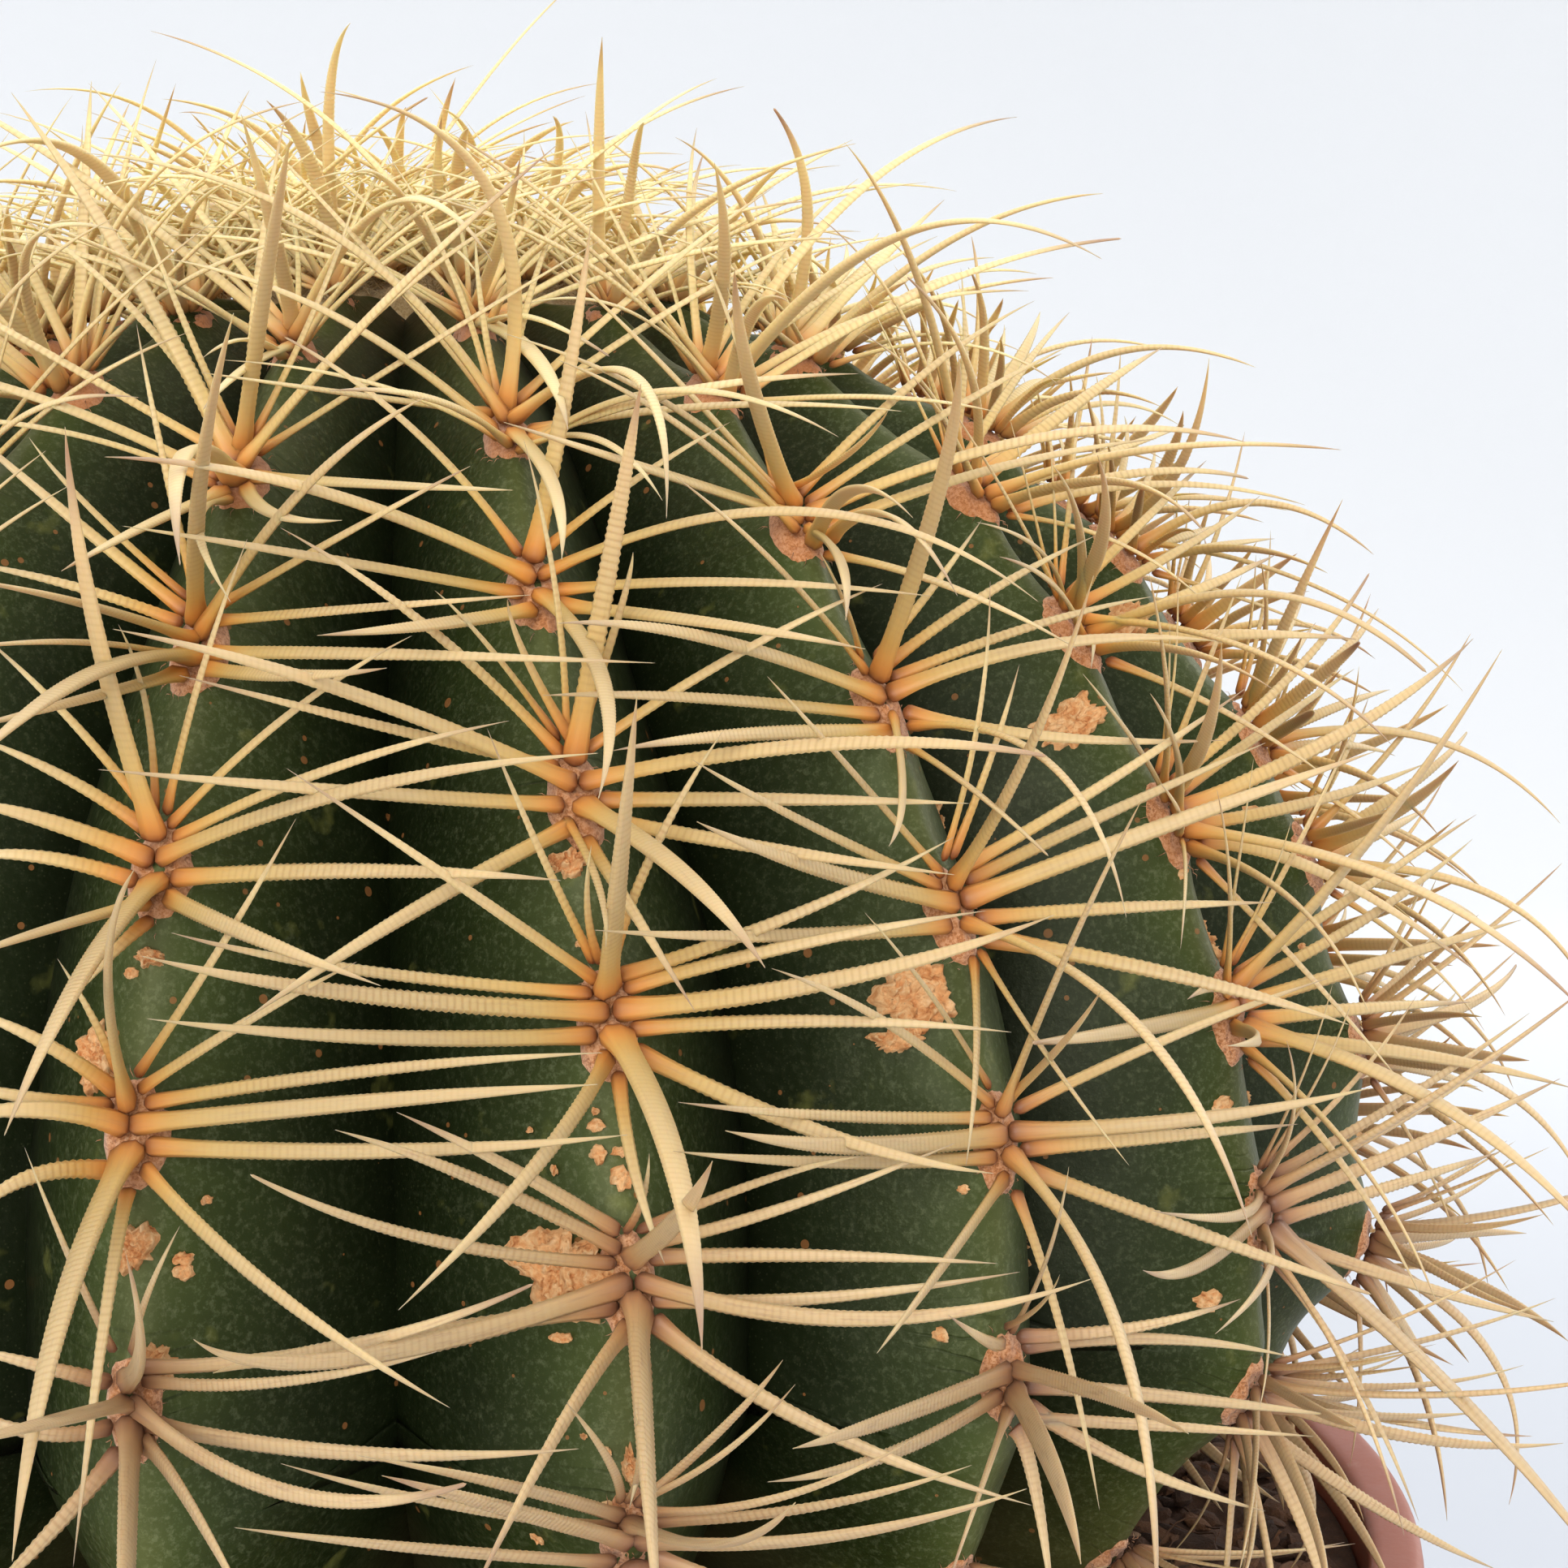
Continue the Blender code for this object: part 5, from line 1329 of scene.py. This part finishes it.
def makeMix():
    material = barkMix()
    edge = pot["lipRadius"] - pot["lipWidth"] - 0.5 * mm
    inner = mix["innerRadius"]
    n, rings = mix["segments"], mix["rings"]
    around = fullTurn * np.arange(n) / n
    radii = np.linspace(edge, inner, rings)
    r = np.repeat(radii, n)
    a = np.tile(around, rings)
    points = polar(r, a, 0.0)
    relief = rough(points, mix["clodSize"], 3.0) * mix["relief"]
    relief = relief + rough(points, mix["crumbSize"], 5.0) * mix["crumbRise"]
    points[:, 2] = mixHeight(r) + relief * ease(edge - r + 1e-4, 0.0, 3 * mm)
    lipFoot = pot["height"] - pot["lipDepth"]
    gap = 0.6 * mm
    side = [(edge, lipFoot + 0.5 * pot["lipDepth"] + 1 * mm),
            (pot["topRadius"] - pot["wall"] - gap, lipFoot - 2 * mm),
            (pot["baseRadius"] - pot["wall"] - gap + 0.6 * mm, pot["floor"] + gap)]
    below = [polar(sideRadius, around, height) for sideRadius, height in side]
    middles = [[0, 0, pot["floor"] + gap], [0, 0, float(mixHeight(inner))]]
    allPoints = np.concatenate([points, *below, middles])
    here, beyond = np.arange(n), (np.arange(n) + 1) % n
    quads = [ringQuads(rings, n, inward=True)]
    chain = [0, rings, rings + 1, rings + 2]
    for upper, lower in zip(chain, chain[1:]):
        quads.append(np.stack([upper * n + beyond, upper * n + here, lower * n + here, lower * n + beyond], -1))
    triangles = [capTriangles(len(allPoints) - 2, (rings + 2) * n, n, inward=True),
                 capTriangles(len(allPoints) - 1, (rings - 1) * n, n)]
    makePiece("potting_mix", allPoints, np.concatenate(quads), np.concatenate(triangles), material, "potting_mix",
              stands=("soil",), facts={"tone": np.full(len(allPoints), 0.35)})

    builder = bmesh.new()
    bmesh.ops.create_icosphere(builder, subdivisions=2, radius=1.0)
    ballPoints = np.array([v.co[:] for v in builder.verts])
    ballFaces = np.array([[v.index for v in f.verts] for f in builder.faces])
    builder.free()
    rng = random.Random(mix["seed"])
    points, triangles, tones, start = [], [], [], 0
    for index in range(mix["chips"] + mix["grit"]):
        grit = index >= mix["chips"]
        size = [1.6 + 3.6 * rng.random() ** 2, 1.0 + 1.5 * rng.random(), 0.5 + 0.7 * rng.random()]
        size = np.array(size) * mm
        if grit:
            size = np.array([0.9, 0.8, 0.7]) * (0.6 + rng.random()) * mm
        r = math.sqrt(rng.uniform(mix["chipsFrom"] ** 2, (edge - max(size) - 0.3 * mm) ** 2))
        a = rng.random() * fullTurn
        shape = ballPoints * (1.0 + 0.28 * rough(ballPoints + index * 1.7, 0.9)[:, None]) * size
        turnBy = Matrix.Rotation(rng.random() * fullTurn, 3, "Z")
        for axis in "XY":
            turnBy = turnBy @ Matrix.Rotation((rng.random() - 0.5) * 0.9, 3, axis)
        shape = shape @ np.array(turnBy).T
        spot = np.array([r * math.cos(a), r * math.sin(a), 0.0])
        spot[2] = float(mixHeight(r)) + float(rough([spot], mix["clodSize"], 3.0)[0]) * mix["relief"]
        spot[2] = spot[2] + (0.3 + 0.9 * rng.random()) * mm
        points.append(shape + spot)
        triangles.append(ballFaces + start)
        tones.append(np.full(len(shape), 0.75 + 0.45 * rng.random() if grit else rng.random() * 0.85))
        start += len(shape)
    makePiece("bark_chips", np.concatenate(points), [], np.concatenate(triangles), material, "potting_mix",
              facts={"tone": np.concatenate(tones)}, flat=True)
    fibres = []
    for _ in range(mix["fibres"]):
        r = math.sqrt(rng.uniform(mix["fibresFrom"] ** 2, (edge - 6 * mm) ** 2))
        a, heading = rng.random() * fullTurn, rng.random() * fullTurn
        length = (6 + 10 * rng.random()) * mm
        spot = np.array([r * math.cos(a), r * math.sin(a), 0.0])
        bendBy = (rng.random() - 0.5) * 1.6
        line = []
        for t in np.linspace(-0.5, 0.5, 8):
            toward = heading + bendBy * t
            p = spot + length * t * np.array([math.cos(toward), math.sin(toward), 0.0])
            reach = min(math.hypot(p[0], p[1]), edge - 0.5 * mm)
            p[:2] *= reach / max(math.hypot(p[0], p[1]), 1e-6)
            p[2] = float(mixHeight(reach)) + 2.2 * mm + 1.2 * mm * math.sin(5 * t + a)
            line.append(p)
        fibres.append((line, (0.18 + 0.2 * rng.random()) * mm))
    mesh = needleMesh(fibres, 4)
    makePiece("coir_fibres", *mesh, material, "potting_mix", facts={"tone": np.full(len(mesh[0]), 0.62)})


makeMix()
print("pot filled")


# Floor and light

def studio():
    material, add, surface = newMaterial("paleStudioPaper", Roughness=0.9)
    place = add("TexCoord").outputs["Object"]
    grain = add("TexNoise", {"Scale": 900.0, "Detail": 2.0, "Vector": place})
    tint = add("Mix", {"data_type": "RGBA", 6: linear("#e5e6e7"), 7: linear("#e9eaeb"), 0: grain})
    # greyer under the softbox, where the paper would burn out
    spread = add("VectorMath", {"operation": "LENGTH", 0: place})
    middle = add("MapRange", {"range": (0.3, 1.8, 1.0, 0.0), "interpolation_type": "SMOOTHSTEP", 0: spread})
    toned = add("Mix", {"data_type": "RGBA", 7: linear("#b9bdc4"), 0: middle, 6: tint})
    fill(surface, {"Base Color": toned})
    # a round sheet of paper that curves up into a low wall, so no edge shows from any side
    sweep = {"floorRadius": 1.7, "bend": 0.9, "wall": 1.0, "segments": 96}
    profile = [(0.0, 0.0), (0.3, 0.0), (sweep["floorRadius"] * 0.5, 0.0), (sweep["floorRadius"], 0.0)]
    for a in np.linspace(0.1, math.pi / 2, 16):
        profile.append((sweep["floorRadius"] + sweep["bend"] * math.sin(a), sweep["bend"] * (1 - math.cos(a))))
    profile.append((sweep["floorRadius"] + sweep["bend"], sweep["bend"] + sweep["wall"]))
    n = sweep["segments"]
    around = fullTurn * np.arange(n) / n
    points = [(0.0, 0.0, 0.0)]
    points += [(r * math.cos(a), r * math.sin(a), z) for r, z in profile[1:] for a in around]
    faces = [(0, 1 + k, 1 + (k + 1) % n) for k in range(n)]
    for row in range(len(profile) - 2):
        a, b = 1 + row * n, 1 + (row + 1) * n
        faces += [(a + k, b + k, b + (k + 1) % n, a + (k + 1) % n) for k in range(n)]
    mesh = bpy.data.meshes.new("studio_floor")
    mesh.from_pydata(points, [], faces)
    mesh.materials.append(material)
    mesh.polygons.foreach_set("use_smooth", [True] * len(mesh.polygons))
    floor = bpy.data.objects.new("studio_floor", mesh)
    bpy.context.scene.collection.objects.link(floor)


def softLight(name, place, target, size, watts, tint):
    light = bpy.data.lights.new(name, "AREA")
    light.shape = "DISK"
    light.size = size
    light.energy = watts
    light.color = linear(tint)[:3]
    lamp = bpy.data.objects.new(name, light)
    lamp.location = place
    lamp.rotation_mode = "QUATERNION"
    lamp.rotation_quaternion = (Vector(target) - Vector(place)).to_track_quat("-Z", "Y")
    bpy.context.scene.collection.objects.link(lamp)


studio()
world = bpy.data.worlds.new("softSky")
bpy.context.scene.world = world
world.use_nodes = True
world.node_tree.nodes["Background"].inputs["Color"].default_value = linear("#f1f4fa")
world.node_tree.nodes["Background"].inputs["Strength"].default_value = 1.12
softLight("overheadSoftbox", (0.1, 0.45, 1.6), (0.0, 0.0, 0.22), 1.6, 9.0, "#fffaf2")
softLight("frontFill", (-0.45, -1.8, 0.8), (0.0, 0.0, 0.2), 1.2, 29.0, "#fffdf8")
softLight("sideFill", (1.5, 0.6, 0.9), (0.0, 0.0, 0.25), 1.0, 9.0, "#fffcf6")
bpy.context.scene.view_settings.view_transform = "Standard"
print("studio lit")
